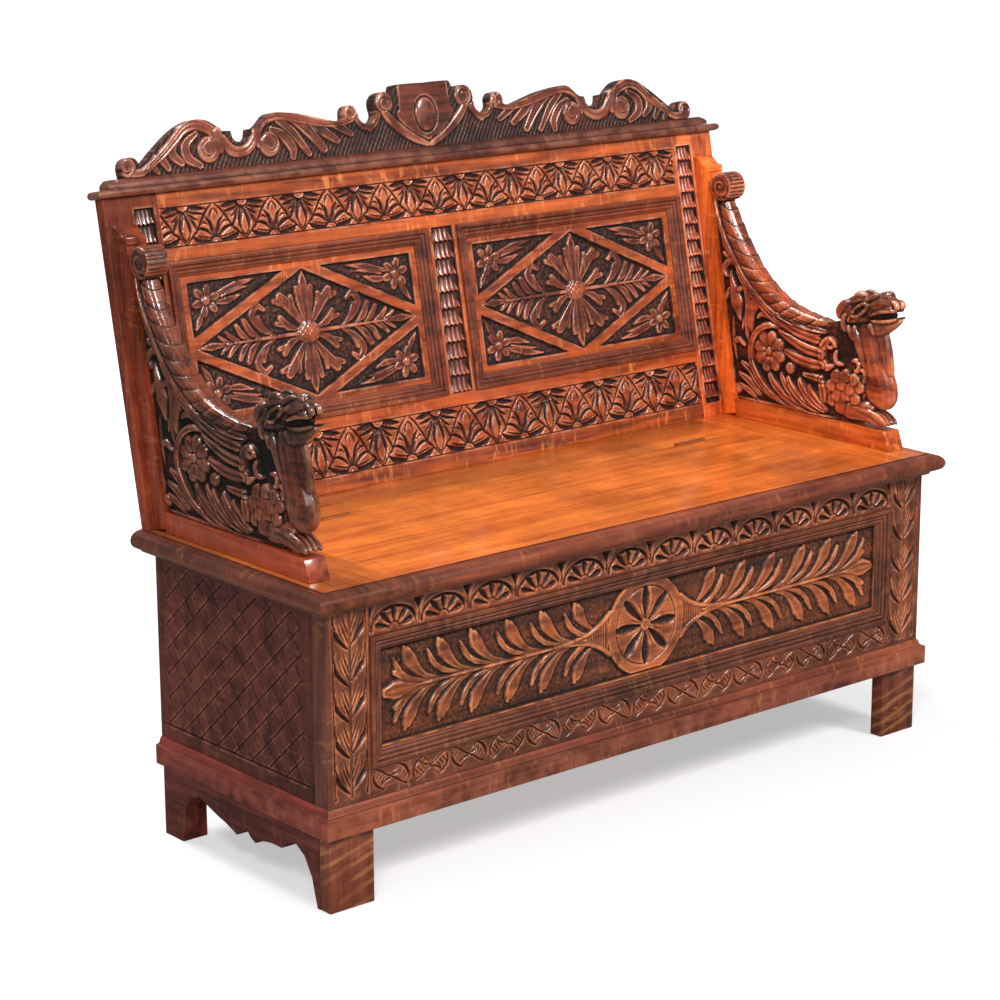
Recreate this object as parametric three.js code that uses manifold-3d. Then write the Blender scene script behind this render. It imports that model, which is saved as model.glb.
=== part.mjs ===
// A carved oak box settle: a chest with a lift-up seat, a raked panelled back and beast-head arms.
// Millimetres. +X runs along the seat, +Y to the back, +Z up. The origin is under the middle of the bench.
import * as THREE from "three";
import { mergeVertices } from "three/addons/utils/BufferGeometryUtils.js";
import Module from "manifold-3d";

const wasm = await Module();
wasm.setup();

// Chest
const chestWidth = 1200;
const chestDepth = 410;
const chestHeight = 278;
const frontThickness = 30;
const sideThickness = 20;
const rearThickness = 18;
const floorThickness = 12;
const frontStileWidth = 75;
const frontTopRailHeight = 45;
const frontBottomRailHeight = 44;

// Plinth and feet
const footHeight = 112;
const plinthHeight = 41;
const plinthFaceHeight = 28.5;
const plinthOverhang = 10.6;
const plinthThickness = 45;
const rearRailThickness = 25;
const footInset = 1;
const footWidth = 77;
const footThickness = 23.5;
const bracketThickness = 24;
const rearFootWidth = 47;
const rearFootThickness = 18;

// Seat
const seatThickness = 35;
const nosingOverhang = 26;
const quirkOverhang = 6;
const quirkDepth = 1.8;
const seatRearOverhang = 24;
const sideBoardWidth = 112;
const lidSideGap = 0.5;
const rearRailDepth = 138;
const lidRearGap = 0.5;
const battenWidth = 50;
const battenThickness = 20;
const battenInset = 188;
const battenEndSpace = 15;

// Hinges
const hingeInset = 123;
const hingeLength = 64;
const leafThickness = 1.5;
const leafHeight = 18;
const leafClearance = 0.3;
const knuckleRadius = 4;
const knuckleGap = 0.4;
const knuckleClearance = 0.6;
const pinRadius = 1.6;
const pinClearance = 0.3;
const knuckleCount = 3;

// Back, in its own raked plane
const backRake = THREE.MathUtils.degToRad(11.08);
const backSeatMargin = 21;
const backThickness = 20;
const backSideOverhang = 6;
const backHeight = 480;
const muntinWidth = 58;
const backStileWidth = 92;
const backBottomRailHeight = 116;
const backTopRailHeight = 101;
const capHeight = 12;
const capOverhang = 12;
const crestBaseHeight = 14;
const crestBaseInset = 10;
const crestBaseOverhang = 6;
const crestBaseBevel = 15;
const crestBaseLip = 2.8;
const crestInset = 19;
const crestHeight = 99;
const crestThickness = 22;

// Framed panels
const grooveDepth = 8;
const grooveClearance = 0.3;
const panelThickness = 11;
const panelSetback = 8;
const mouldingWidth = 24;
const mouldingStand = 5;

// Carving on the panels: forms standing in a sunk ground
const carvingDepth = 4.5;
const leafDrop = 0.8;
const carvingSink = 0.6;
const lozengeHalfWidth = 204;
const lozengeHalfHeight = 96;
const lozengeStrap = 16;
const bossHalfWidth = 20.5;
const bossHalfHeight = 15.5;
const cornerHalfWidth = 208;
const cornerHalfHeight = 97;
const flowerInset = 31;
const flowerDrop = 28;
const flowerRadius = 23;
const flowerPetals = 6;
const flowerTurn = THREE.MathUtils.degToRad(15);
const fieldMargin = 28;
const fieldBottomMargin = 33;
const fieldTopMargin = 27;
const wheelRise = 99;
const wheelRadius = 77;
const wheelInnerRadius = 61;
const wheelHubRadius = 10;
const wheelPetals = 8;
const sprayHeight = 60;

// Arms
const armEdgeSpace = 10;
const armWidth = 36;
const armRailHeight = 31;
const armFrontY = 38;
const armFrontSlope = 12;
const postDepth = 28;
const postHeight = 440;
const beastHeight = 380;
const wingRailDepth = 29;
const webWidth = 24;
const carvingWidth = 33;
const headWidth = 34;
const voluteRadius = 24;
const voluteWidth = 39;
const ringRadius = 50;
const rosetteRadius = 37;
const ringWidth = 31;

// Fits
const glueGap = 0.3;
const overrun = 60;
const backFootOverrun = 15;

// Outlines. The bracket runs front to back and up, as shares of chestDepth and footHeight.
const bracketShares = [
  [0.076, 0], [0.105, 0.384], [0.146, 0.625], [0.195, 0.732], [0.239, 0.679], [0.276, 0.58],
  [0.334, 0.58], [0.383, 0.554], [0.432, 0.473], [0.459, 0.518], [0.483, 0.598], [0.512, 0.527],
  [0.544, 0.464], [0.61, 0.554], [0.666, 0.607], [0.72, 0.67], [0.773, 0.741], [0.829, 0.661],
  [0.859, 0.5],
];
// The nosing below its quirk: reach as a share of nosingOverhang, height as a share of seatThickness.
const nosingShares = [
  [0.55, 0.91], [0.8, 0.82], [0.95, 0.68], [1, 0.53], [0.95, 0.38], [0.82, 0.26], [0.62, 0.18], [0.36, 0.13],
  [0.3, 0.07],
];
// The plinth's upper edge: reach as a share of plinthOverhang, height as a share of what is above its face.
const plinthShares = [[1, 0], [0.84, 0.12], [0.5, 0.2], [0.34, 0.45], [0.2, 0.8], [0, 1]];
// A panel moulding, from the frame to the panel: shares of its width and of its depth from its top.
const mouldingShares = [
  [0, 0.12], [0.08, 0], [0.24, 0], [0.34, 0.26], [0.5, 0.22], [0.62, 0.5], [0.84, 0.62], [1, 0.8],
];
// The cap's rounded edge: shares of capOverhang and capHeight.
const capShares = [[0.35, 0], [0.8, 0.12], [1, 0.5], [0.8, 0.88], [0.35, 1]];
// The top of the arm post, from its foot at the back: shares of postDepth and postHeight.
const postTopShares = [
  [0.06, 1], [0.35, 0.995], [0.6, 0.975], [0.85, 0.962], [1.1, 0.958], [1.1, 0.934], [1, 0.93],
];
// Half of the crest, from the middle of the shield outwards: shares of crestHalfWidth and crestHeight.
const crestShares = [
  [0, 0.99], [0.087, 1], [0.101, 0.949], [0.111, 0.838], [0.125, 0.889], [0.139, 0.904], [0.158, 0.879],
  [0.172, 0.798], [0.175, 0.687], [0.172, 0.556], [0.182, 0.47], [0.199, 0.434], [0.218, 0.455], [0.231, 0.535],
  [0.232, 0.646], [0.241, 0.722], [0.255, 0.747], [0.27, 0.712], [0.276, 0.626], [0.279, 0.54], [0.307, 0.52],
  [0.355, 0.586], [0.416, 0.677], [0.464, 0.722], [0.503, 0.742], [0.527, 0.712], [0.551, 0.596], [0.568, 0.54],
  [0.586, 0.535], [0.591, 0.419], [0.601, 0.369], [0.615, 0.354], [0.629, 0.369], [0.64, 0.419], [0.645, 0.535],
  [0.672, 0.545], [0.69, 0.636], [0.714, 0.717], [0.745, 0.747], [0.776, 0.727], [0.815, 0.636], [0.853, 0.495],
  [0.887, 0.348], [0.927, 0.177], [0.943, 0.258], [0.964, 0.293], [0.983, 0.242], [0.99, 0.141], [0.988, 0],
];
// The beast, in shares of beastLength back from its toes and of beastHeight up from the arm rail.
const wingRailShares = [
  [1.055, 0.908], [1.027, 0.813], [0.981, 0.729], [0.918, 0.642], [0.83, 0.555], [0.731, 0.492],
  [0.629, 0.445], [0.522, 0.416], [0.412, 0.408], [0.297, 0.434],
];
const webShares = [
  [0.17, 0], [0.148, 0.066], [0.132, 0.126], [0.159, 0.205], [0.214, 0.239], [0.264, 0.255], [0.319, 0.282],
  [0.341, 0.329], [0.335, 0.389], [0.412, 0.408], [0.522, 0.416], [0.629, 0.445], [0.731, 0.492], [0.83, 0.555],
  [0.918, 0.642], [0.981, 0.729], [1.027, 0.813], [1.06, 0.908], [1.104, 0.961],
];
const neckShares = [
  [0.016, 0.397], [0.019, 0.334], [0.013, 0.245], [0.001, 0.182], [0.003, 0.124], [0.027, 0.074], [0.071, 0.055],
  [0.132, 0.068], [0.165, 0.118], [0.179, 0.171], [0.214, 0.253], [0.266, 0.337], [0.277, 0.403], [0.302, 0.45],
  [0.214, 0.508], [0.11, 0.482],
];
const headShares = [
  [0.341, 0.45], [0.297, 0.497], [0.217, 0.545], [0.121, 0.561], [0.082, 0.584], [0.041, 0.597], [-0.003, 0.582],
  [-0.033, 0.553], [-0.033, 0.526], [-0.025, 0.513], [0.055, 0.503], [0.126, 0.466], [0.027, 0.474],
  [-0.052, 0.492], [-0.047, 0.471], [-0.003, 0.434], [0.019, 0.389], [0.069, 0.355], [0.192, 0.366], [0.28, 0.403],
];
const pawShares = [
  [0.003, 0], [0, 0.021], [0.016, 0.045], [0.044, 0.058], [0.102, 0.063], [0.179, 0.079], [0.231, 0.061], [0.253, 0],
];
const featherShares = [
  [0.736, 0.408], [0.687, 0.366], [0.582, 0.329], [0.522, 0.271], [0.481, 0.224], [0.385, 0.205], [0.316, 0.245],
  [0.324, 0.376], [0.453, 0.389], [0.604, 0.408],
];
const shoulderShares = [
  [0.374, 0.155], [0.346, 0.245], [0.316, 0.287], [0.275, 0.303], [0.214, 0.287], [0.159, 0.245], [0.126, 0.182],
  [0.137, 0.113], [0.198, 0.05], [0.275, 0.008], [0.374, 0.016], [0.385, 0.087],
];
const voluteShare = [1.047, 0.937];
const rosetteShare = [0.728, 0.242];
const rosetteButtonShare = 1 / 3;
// Roundings of the beast's forms, in shares of wingRailDepth.
const neckRoundingShare = 1 / 3;
const featherRoundingShare = 1 / 9;
const headRoundingShare = 1 / 12;
// Leaves inside the lozenge, from its middle: spines in shares of its half width and half height, and
// breadths to each side in shares of its half height. The first list is repeated in all four quarters.
const quarterLeafShares = [
  { spine: [[0.02, 0.146], [0.049, 0.5], [0.078, 0.781]], breadths: [0.031, 0.068, 0] },
  {
    spine: [[0.039, 0.125], [0.118, 0.375], [0.196, 0.562], [0.245, 0.688]],
    breadths: [0.031, 0.104, 0.125, 0],
  },
  { spine: [[0.147, 0.458], [0.235, 0.542], [0.319, 0.573]], breadths: [0.031, 0.073, 0] },
  { spine: [[0.064, 0.042], [0.186, 0.146], [0.255, 0.323]], breadths: [0, 0.094, 0] },
  {
    spine: [[0.299, 0.011], [0.402, 0.146], [0.485, 0.354], [0.441, 0.521], [0.377, 0.448]],
    breadths: [0, 0.083, 0.083, 0.062, 0],
  },
  { spine: [[0.426, 0.008], [0.525, 0.156], [0.578, 0.391]], breadths: [0, 0.083, 0] },
  { spine: [[0.515, 0.009], [0.598, 0.125], [0.657, 0.323]], breadths: [0, 0.073, 0] },
  { spine: [[0.603, 0.01], [0.686, 0.094], [0.745, 0.229]], breadths: [0, 0.062, 0] },
];
const uprightLeafShares = [
  { spine: [[0, 0.104], [0, 0.521], [0, 0.792], [0, 0.969]], breadths: [0.083, 0.094, 0.094, 0] },
];
const stemLeafShares = [
  { spine: [[0.069, 0], [0.441, 0], [0.843, 0], [0.99, 0]], breadths: [0.035, 0.031, 0.073, 0] },
];
// Sprays from the corner flowers, measured in the same way, and a flower's reach at tips and hollows.
const cornerLeafShares = [
  { spine: [[0.784, 0.792], [0.598, 0.896], [0.422, 0.958]], breadths: [0.031, 0.073, 0] },
  { spine: [[0.902, 0.562], [0.941, 0.417], [0.985, 0.271]], breadths: [0.031, 0.062, 0] },
];
const flowerShares = [1, 0.5];
// Leaves on the chest panel's stems, from below each big leaf's tip outwards, in shares of sprayHeight.
const sprayLeafShares = [
  { spine: [[-1.133, 0.015], [-0.467, 0.367], [-0.15, 0.733], [0, 0.983]], breadths: [0, 0.1, 0.167, 0] },
  { spine: [[-0.517, 0.018], [0.1, 0.4], [0.283, 0.783]], breadths: [0, 0.083, 0.042] },
  { spine: [[-0.917, 0.012], [-0.333, 0.15], [-0.017, 0.367]], breadths: [0, 0.083, 0] },
];
const sprayTipShares = [0.286, 0.416, 0.545, 0.68, 0.799, 0.922];
// The stem with its end leaf, and the branches by the wheel, from its middle, in shares of sprayHeight.
const stemShares = [
  {
    spine: [[2, 0], [4.333, 0], [6.667, 0], [7.333, 0], [7.833, 0], [8.15, 0]],
    breadths: [0.043, 0.04, 0.04, 0.1, 0.25, 0.133],
  },
];
const branchShares = [
  {
    spine: [[1.167, 0.567], [1.533, 0.3], [2.033, 0.117], [2.667, 0.017]],
    breadths: [0.05, 0.067, 0.05, 0],
  },
  { spine: [[7.233, 0.025], [7.667, 0.283], [7.9, 0.433]], breadths: [0, 0.1, 0.067] },
];
// Half of a wheel petal: shares of the wheel's inner radius and of half a sector.
const wheelPetalShares = [[0.24, 0.2], [0.6, 0.62], [0.93, 0.78]];

// Heights and places that follow from the sizes above
const halfChest = chestWidth / 2;
const chestBottomZ = footHeight + plinthHeight;
const seatBottomZ = chestBottomZ + chestHeight;
const seatTopZ = seatBottomZ + seatThickness;
const chestRearY = chestDepth;
const seatRearY = chestDepth + seatRearOverhang;
const lidHalfWidth = halfChest - sideBoardWidth;
const lidRearY = seatRearY - rearRailDepth;
const battenOffset = lidHalfWidth - battenInset;
const hingeOffset = lidHalfWidth - hingeInset;
const backFootY = seatRearY - backSeatMargin;
const backHalfWidth = halfChest + backSideOverhang;
const crestBaseHalfWidth = backHalfWidth - crestBaseInset;
const crestHalfWidth = crestBaseHalfWidth - crestInset;
const panelBackDepth = panelSetback + panelThickness;
const backBelow = -backFootOverrun;
const rakeRise = Math.tan(backRake);
const armRailTopZ = seatTopZ + armRailHeight;
const armInnerX = backHalfWidth - armEdgeSpace - armWidth;
const beastFrontY = armFrontY + armFrontSlope;
const beastLength = backFootY - beastFrontY;

// Finishes
const finishes = {
  seatOak: { color: 0x9c4f1c, roughness: 0.35, metalness: 0 },
  backOak: { color: 0x7d3a1a, roughness: 0.45, metalness: 0 },
  carvedOak: { color: 0x5d2615, roughness: 0.5, metalness: 0 },
  sideOak: { color: 0x4a1c14, roughness: 0.45, metalness: 0 },
  plainOak: { color: 0x6b4a30, roughness: 0.8, metalness: 0 },
  steel: { color: 0x8a8478, roughness: 0.4, metalness: 1 },
};

function finish(name) {
  return new THREE.MeshStandardMaterial(finishes[name]);
}

// Solids

// Merges the shared corners of a closed surface and turns its faces outwards.
function closedBody(geometry) {
  const bare = geometry.clone();
  bare.deleteAttribute("normal");
  bare.deleteAttribute("uv");
  const body = mergeVertices(bare);
  const place = body.attributes.position;
  const index = body.index.array;
  const a = new THREE.Vector3();
  const b = new THREE.Vector3();
  const c = new THREE.Vector3();
  let volume = 0;
  for (let i = 0; i < index.length; i += 3) {
    a.fromBufferAttribute(place, index[i]);
    b.fromBufferAttribute(place, index[i + 1]);
    c.fromBufferAttribute(place, index[i + 2]);
    volume += a.dot(b.cross(c));
  }
  if (volume < 0) {
    for (let i = 0; i < index.length; i += 3) {
      const first = index[i];
      index[i] = index[i + 1];
      index[i + 1] = first;
    }
  }
  return body;
}

function toSolid(geometry) {
  const body = closedBody(geometry);
  const vertProperties = new Float32Array(body.attributes.position.array);
  const triVerts = new Uint32Array(body.index.array);
  return new wasm.Manifold(new wasm.Mesh({ numProp: 3, vertProperties, triVerts }));
}

function toGeometry(solid) {
  const mesh = solid.getMesh();
  const geometry = new THREE.BufferGeometry();
  geometry.setAttribute("position", new THREE.BufferAttribute(new Float32Array(mesh.vertProperties), 3));
  geometry.setIndex(new THREE.BufferAttribute(new Uint32Array(mesh.triVerts), 1));
  return geometry;
}

function join(...geometries) {
  const solids = geometries.map(toSolid);
  return toGeometry(solids.reduce((whole, next) => whole.add(next)));
}

function cut(geometry, ...cutters) {
  return toGeometry(cutters.map(toSolid).reduce((whole, next) => whole.subtract(next), toSolid(geometry)));
}

function common(first, second) {
  return toGeometry(toSolid(first).intersect(toSolid(second)));
}

// Draws an outline of [a, b] points from t = 0 to t = 1 and puts each corner where place(a, b, t) says.
function drawn(outline, place) {
  const shape = new THREE.Shape(outline.map(([a, b]) => new THREE.Vector2(a, b)));
  const geometry = new THREE.ExtrudeGeometry(shape, { depth: 1, bevelEnabled: false });
  const position = geometry.attributes.position;
  for (let i = 0; i < position.count; i += 1) {
    const [x, y, z] = place(position.getX(i), position.getY(i), Math.round(position.getZ(i)));
    position.setXYZ(i, x, y, z);
  }
  return closedBody(geometry);
}

function between(low, high, t) {
  return low + (high - low) * t;
}

function alongX(outline, x0, x1) {
  return drawn(outline, (y, z, t) => [between(x0, x1, t), y, z]);
}

function alongY(outline, y0, y1) {
  return drawn(outline, (x, z, t) => [x, between(y0, y1, t), z]);
}

function box(x0, x1, y0, y1, z0, z1) {
  return alongX([[y0, z0], [y1, z0], [y1, z1], [y0, z1]], x0, x1);
}

// A round bar along X, centred at y and z.
function roundBar(radius, x0, x1, y, z, sides) {
  const bar = new THREE.CylinderGeometry(radius, radius, x1 - x0, sides);
  bar.rotateZ(Math.PI / 2);
  bar.translate((x0 + x1) / 2, y, z);
  return bar;
}

// An outline with rounded edges, seen from the side and centred across X.
function roundedBoard(outline, x0, x1, bevel, steps) {
  const shape = new THREE.Shape(outline.map(([y, z]) => new THREE.Vector2(y, z)));
  const board = new THREE.ExtrudeGeometry(shape, {
    depth: x1 - x0 - 2 * bevel,
    bevelThickness: bevel,
    bevelSize: bevel,
    bevelOffset: -bevel,
    bevelSegments: steps,
  });
  board.translate(0, 0, x0 + bevel);
  return board.applyMatrix4(new THREE.Matrix4().set(0, 0, 1, 0, 1, 0, 0, 0, 0, 1, 0, 0, 0, 0, 0, 1));
}

// Assembly
const settle = new THREE.Group();
const chest = new THREE.Group();
const seat = new THREE.Group();
const back = new THREE.Group();
const arms = new THREE.Group();
settle.add(chest, seat, back, arms);
back.position.set(0, backFootY, seatTopZ);
back.rotation.x = -backRake;

function add(group, name, geometry, finishName) {
  const mesh = new THREE.Mesh(geometry, finish(finishName));
  mesh.name = name;
  group.add(mesh);
  return mesh;
}

const sides = [["left", -1], ["right", 1]];

// Frame members and panels. u runs along the member, v across it, w is the depth behind the face.
function frameMember({ u0, u1, v0, v1, depth, grooveLow, grooveHigh, tenons }, place) {
  const front = panelSetback - grooveClearance;
  const rear = panelBackDepth + grooveClearance;
  const outline = [[v0, 0]];
  if (grooveLow) {
    outline.push([v0, front], [v0 + grooveDepth, front], [v0 + grooveDepth, rear], [v0, rear]);
  }
  outline.push([v0, depth], [v1, depth]);
  if (grooveHigh) {
    outline.push([v1, rear], [v1 - grooveDepth, rear], [v1 - grooveDepth, front], [v1, front]);
  }
  outline.push([v1, 0]);
  const body = drawn(outline, (v, w, t) => place(between(u0, u1, t), v, w));
  if (!tenons) {
    return body;
  }
  const low = grooveLow ? v0 + grooveDepth : v0;
  const high = grooveHigh ? v1 - grooveDepth : v1;
  const reach = grooveDepth - 2 * glueGap;
  const tongue = [[low, panelSetback], [high, panelSetback], [high, panelBackDepth], [low, panelBackDepth]];
  return join(body, drawn(tongue, (v, w, t) => place(between(u0 - reach, u1 + reach, t), v, w)));
}

// Four mitred strips inside an opening, from its edges inwards, standing on the panel.
function panelMouldings(group, prefix, opening, place, finishName) {
  const depth = mouldingStand + panelSetback - glueGap;
  const face = mouldingShares.map(([v, w]) => [v * mouldingWidth, w * depth - mouldingStand]);
  const foot = panelSetback - glueGap;
  const profile = [...face, [mouldingWidth, foot], [0, foot]];
  const { a0, a1, b0, b1 } = opening;
  const strips = {
    bottom: (v, w, t) => place(between(a0 + v + glueGap, a1 - v - glueGap, t), b0 + v + glueGap, w),
    top: (v, w, t) => place(between(a0 + v + glueGap, a1 - v - glueGap, t), b1 - v - glueGap, w),
    left: (v, w, t) => place(a0 + v + glueGap, between(b0 + v + 2 * glueGap, b1 - v - 2 * glueGap, t), w),
    right: (v, w, t) => place(a1 - v - glueGap, between(b0 + v + 2 * glueGap, b1 - v - 2 * glueGap, t), w),
  };
  for (const [edge, run] of Object.entries(strips)) {
    add(group, `${prefix}_${edge}`, drawn(profile, run), finishName);
  }
}

function panelBoard({ a0, a1, b0, b1 }, place) {
  const reach = grooveDepth - grooveClearance;
  const outline = [
    [a0 - reach, b0 - reach], [a1 + reach, b0 - reach], [a1 + reach, b1 + reach], [a0 - reach, b1 + reach],
  ];
  return drawn(outline, (a, b, t) => place(a, b, between(panelSetback, panelBackDepth, t)));
}

// A leaf's outline round its middle line, with a breadth to each side at even steps.
function leafOutline(spine, breadths) {
  const line = new THREE.SplineCurve(spine.map(([a, b]) => new THREE.Vector2(a, b)));
  const last = breadths.length - 1;
  const spot = (turn, i) => {
    const at = line.getPoint(i / last);
    const along = line.getTangent(i / last);
    return [at.x - turn * breadths[i] * along.y, at.y + turn * breadths[i] * along.x];
  };
  const near = breadths.map((_, i) => spot(1, i));
  const far = breadths.map((_, i) => spot(-1, i)).filter((_, i) => breadths[i] > 0);
  return [...near, ...far.reverse()];
}

// Leaf outlines for every turn: offset runs outwards from the centre before the turn is taken.
function leafOutlines(leaves, [a0, b0], [width, height], turns, offset = 0) {
  return leaves.flatMap(({ spine, breadths }) => turns.map(([turnA, turnB]) => leafOutline(
    spine.map(([a, b]) => [a0 + turnA * (offset + a * width), b0 + turnB * b * height]),
    breadths.map((breadth) => breadth * height),
  )));
}

function roundOutline([a, b], radiusA, radiusB, sides) {
  const points = new THREE.EllipseCurve(a, b, radiusA, radiusB).getPoints(sides);
  return points.slice(0, -1).map((point) => [point.x, point.y]);
}

// Sinks the grounds into a panel and stands the forms in them.
function carve(board, place, grounds, forms, drop) {
  const slab = (outline, w0, w1) => drawn(outline, (a, b, t) => place(a, b, between(w0, w1, t)));
  const groundW = panelSetback + carvingDepth;
  const pockets = grounds.map((outline) => slab(outline, panelSetback - overrun, groundW));
  const sunk = pockets.length ? cut(board, ...pockets) : board;
  return join(sunk, ...forms.map((outline) => slab(outline, panelSetback + drop, groundW + carvingSink)));
}

const quarters = [[1, 1], [-1, 1], [1, -1], [-1, -1]];
const upAndDown = [[1, 1], [1, -1]];
const leftAndRight = [[1, 1], [-1, 1]];

// A lozenge of flat strapwork round a leafy boss, with a flower and its sprays in each corner.
function lozengeCarving(board, centre, place) {
  const [a0, b0] = centre;
  const size = [lozengeHalfWidth, lozengeHalfHeight];
  const diamond = [
    [a0 + lozengeHalfWidth, b0], [a0, b0 + lozengeHalfHeight],
    [a0 - lozengeHalfWidth, b0], [a0, b0 - lozengeHalfHeight],
  ];
  const slope = lozengeHalfHeight / lozengeHalfWidth;
  const outer = 1 + lozengeStrap * Math.hypot(1 / lozengeHalfWidth, 1 / lozengeHalfHeight);
  const cornerA = lozengeHalfWidth * outer - cornerHalfHeight / slope;
  const cornerB = lozengeHalfHeight * outer - cornerHalfWidth * slope;
  const corners = quarters.map(([turnA, turnB]) => [
    [a0 + turnA * cornerA, b0 + turnB * cornerHalfHeight],
    [a0 + turnA * cornerHalfWidth, b0 + turnB * cornerHalfHeight],
    [a0 + turnA * cornerHalfWidth, b0 + turnB * cornerB],
  ]);
  const flowers = quarters.map(([turnA, turnB]) => {
    const a = a0 + turnA * (cornerHalfWidth - flowerInset);
    const b = b0 + turnB * (cornerHalfHeight - flowerDrop);
    return Array.from({ length: 2 * flowerPetals }, (_, k) => {
      const angle = flowerTurn + (k * Math.PI) / flowerPetals;
      const reach = flowerRadius * flowerShares[k % 2];
      return [a + reach * Math.cos(angle), b + reach * Math.sin(angle)];
    });
  });
  const leaves = [
    ...leafOutlines(quarterLeafShares, centre, size, quarters),
    ...leafOutlines(uprightLeafShares, centre, size, upAndDown),
    ...leafOutlines(stemLeafShares, centre, size, leftAndRight),
    ...leafOutlines(cornerLeafShares, centre, size, quarters),
    ...flowers,
  ];
  const standing = carve(board, place, [diamond, ...corners], leaves, leafDrop);
  return carve(standing, place, [], [roundOutline(centre, bossHalfWidth, bossHalfHeight, 14)], 0);
}

// A wheel in the middle of a long field, with a leafy stem to each side.
function wheelCarving(board, opening, place) {
  const centre = [0, opening.b0 + wheelRise];
  const half = opening.a1 - fieldMargin;
  const low = opening.b0 + fieldBottomMargin;
  const high = opening.b1 - fieldTopMargin;
  const field = [[-half, low], [half, low], [half, high], [-half, high]];
  const size = [sprayHeight, sprayHeight];
  const leaves = [
    ...sprayTipShares.flatMap((tip) => leafOutlines(sprayLeafShares, centre, size, quarters, tip * half)),
    ...leafOutlines(stemShares, centre, size, leftAndRight),
    ...leafOutlines(branchShares, centre, size, quarters),
  ];
  const sector = Math.PI / wheelPetals;
  const petals = Array.from({ length: wheelPetals }, (_, k) => {
    const spot = (reach, turn) => {
      const angle = (2 * k + 1 + turn) * sector;
      const radius = wheelInnerRadius * reach;
      return [radius * Math.cos(angle), centre[1] + radius * Math.sin(angle)];
    };
    const near = wheelPetalShares.map(([reach, turn]) => spot(reach, turn));
    return [...near, ...wheelPetalShares.map(([reach, turn]) => spot(reach, -turn)).reverse()];
  });
  const rim = roundOutline(centre, wheelRadius, wheelRadius, 28);
  const well = roundOutline(centre, wheelInnerRadius, wheelInnerRadius, 28);
  const hub = roundOutline(centre, wheelHubRadius, wheelHubRadius, 12);
  const sprays = carve(board, place, [field], leaves, leafDrop);
  const ringed = carve(sprays, place, [], [rim], 0);
  return carve(carve(ringed, place, [well], petals, leafDrop), place, [], [hub], 0);
}

// Chest front
const frontOpening = {
  a0: -halfChest + frontStileWidth,
  a1: halfChest - frontStileWidth,
  b0: chestBottomZ + frontBottomRailHeight,
  b1: seatBottomZ - frontTopRailHeight,
};
const onFront = (x, z, w) => [x, w, z];
const frontStandingZ = chestBottomZ + glueGap;
const frontTopZ = seatBottomZ - glueGap;

for (const [side, sign] of sides) {
  const member = {
    u0: frontStandingZ,
    u1: frontTopZ,
    v0: sign < 0 ? -halfChest : frontOpening.a1,
    v1: sign < 0 ? frontOpening.a0 : halfChest,
    depth: frontThickness,
    grooveLow: sign > 0,
    grooveHigh: sign < 0,
  };
  add(chest, `chest_front_stile_${side}`, frameMember(member, (u, v, w) => [v, w, u]), "carvedOak");
}
const frontRails = [
  ["chest_front_top_rail", frontOpening.b1, frontTopZ, true],
  ["chest_front_bottom_rail", frontStandingZ, frontOpening.b0, false],
];
for (const [name, v0, v1, isTop] of frontRails) {
  const member = {
    u0: frontOpening.a0 + glueGap,
    u1: frontOpening.a1 - glueGap,
    v0,
    v1,
    depth: frontThickness,
    grooveLow: isTop,
    grooveHigh: !isTop,
    tenons: true,
  };
  add(chest, name, frameMember(member, (u, v, w) => [u, w, v]), "carvedOak");
}
const frontPanel = wheelCarving(panelBoard(frontOpening, onFront), frontOpening, onFront);
add(chest, "chest_front_panel", frontPanel, "carvedOak");
panelMouldings(chest, "chest_front_moulding", frontOpening, onFront, "carvedOak");

// Chest sides, floor and rear board
const floorTopZ = frontStandingZ + floorThickness;
const rearBoardY = chestRearY - rearThickness;
for (const [side, sign] of sides) {
  const inner = sign * (halfChest - sideThickness);
  const board = box(
    Math.min(inner, sign * halfChest), Math.max(inner, sign * halfChest),
    frontThickness + glueGap, chestRearY, frontStandingZ, frontTopZ,
  );
  add(chest, `chest_side_${side}`, board, "sideOak");
}
const insideHalf = halfChest - sideThickness - glueGap;
const floorBoard = box(
  -insideHalf, insideHalf, frontThickness + glueGap, rearBoardY - glueGap, frontStandingZ, floorTopZ,
);
add(chest, "chest_floor", floorBoard, "plainOak");
const rearBoard = box(-insideHalf, insideHalf, rearBoardY, chestRearY, frontStandingZ, frontTopZ);
add(chest, "chest_rear_board", rearBoard, "plainOak");

// Plinth: a moulded frame, mitred at the front corners
function plinthOutline(inner) {
  const aboveFace = plinthHeight - plinthFaceHeight;
  const edge = plinthShares.map(([reach, rise]) => [
    -plinthOverhang * reach, footHeight + plinthFaceHeight + aboveFace * rise,
  ]);
  return [[-plinthOverhang, footHeight], ...edge, [inner, chestBottomZ], [inner, footHeight]];
}
const plinthInner = plinthThickness - plinthOverhang;
const plinthFront = drawn(plinthOutline(plinthInner), (y, z, t) => {
  const end = halfChest - y - glueGap;
  return [between(-end, end, t), y, z];
});
add(chest, "plinth_front", plinthFront, "sideOak");
for (const [side, sign] of sides) {
  const run = drawn(plinthOutline(plinthInner), (reach, z, t) => [
    sign * (halfChest - reach), between(reach + glueGap, chestRearY, t), z,
  ]);
  add(chest, `plinth_${side}`, run, "sideOak");
}
const plinthInsideHalf = halfChest - plinthInner - glueGap;
const plinthRear = box(
  -plinthInsideHalf, plinthInsideHalf, chestRearY - rearRailThickness, chestRearY, footHeight, chestBottomZ,
);
add(chest, "plinth_rear", plinthRear, "plainOak");

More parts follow.
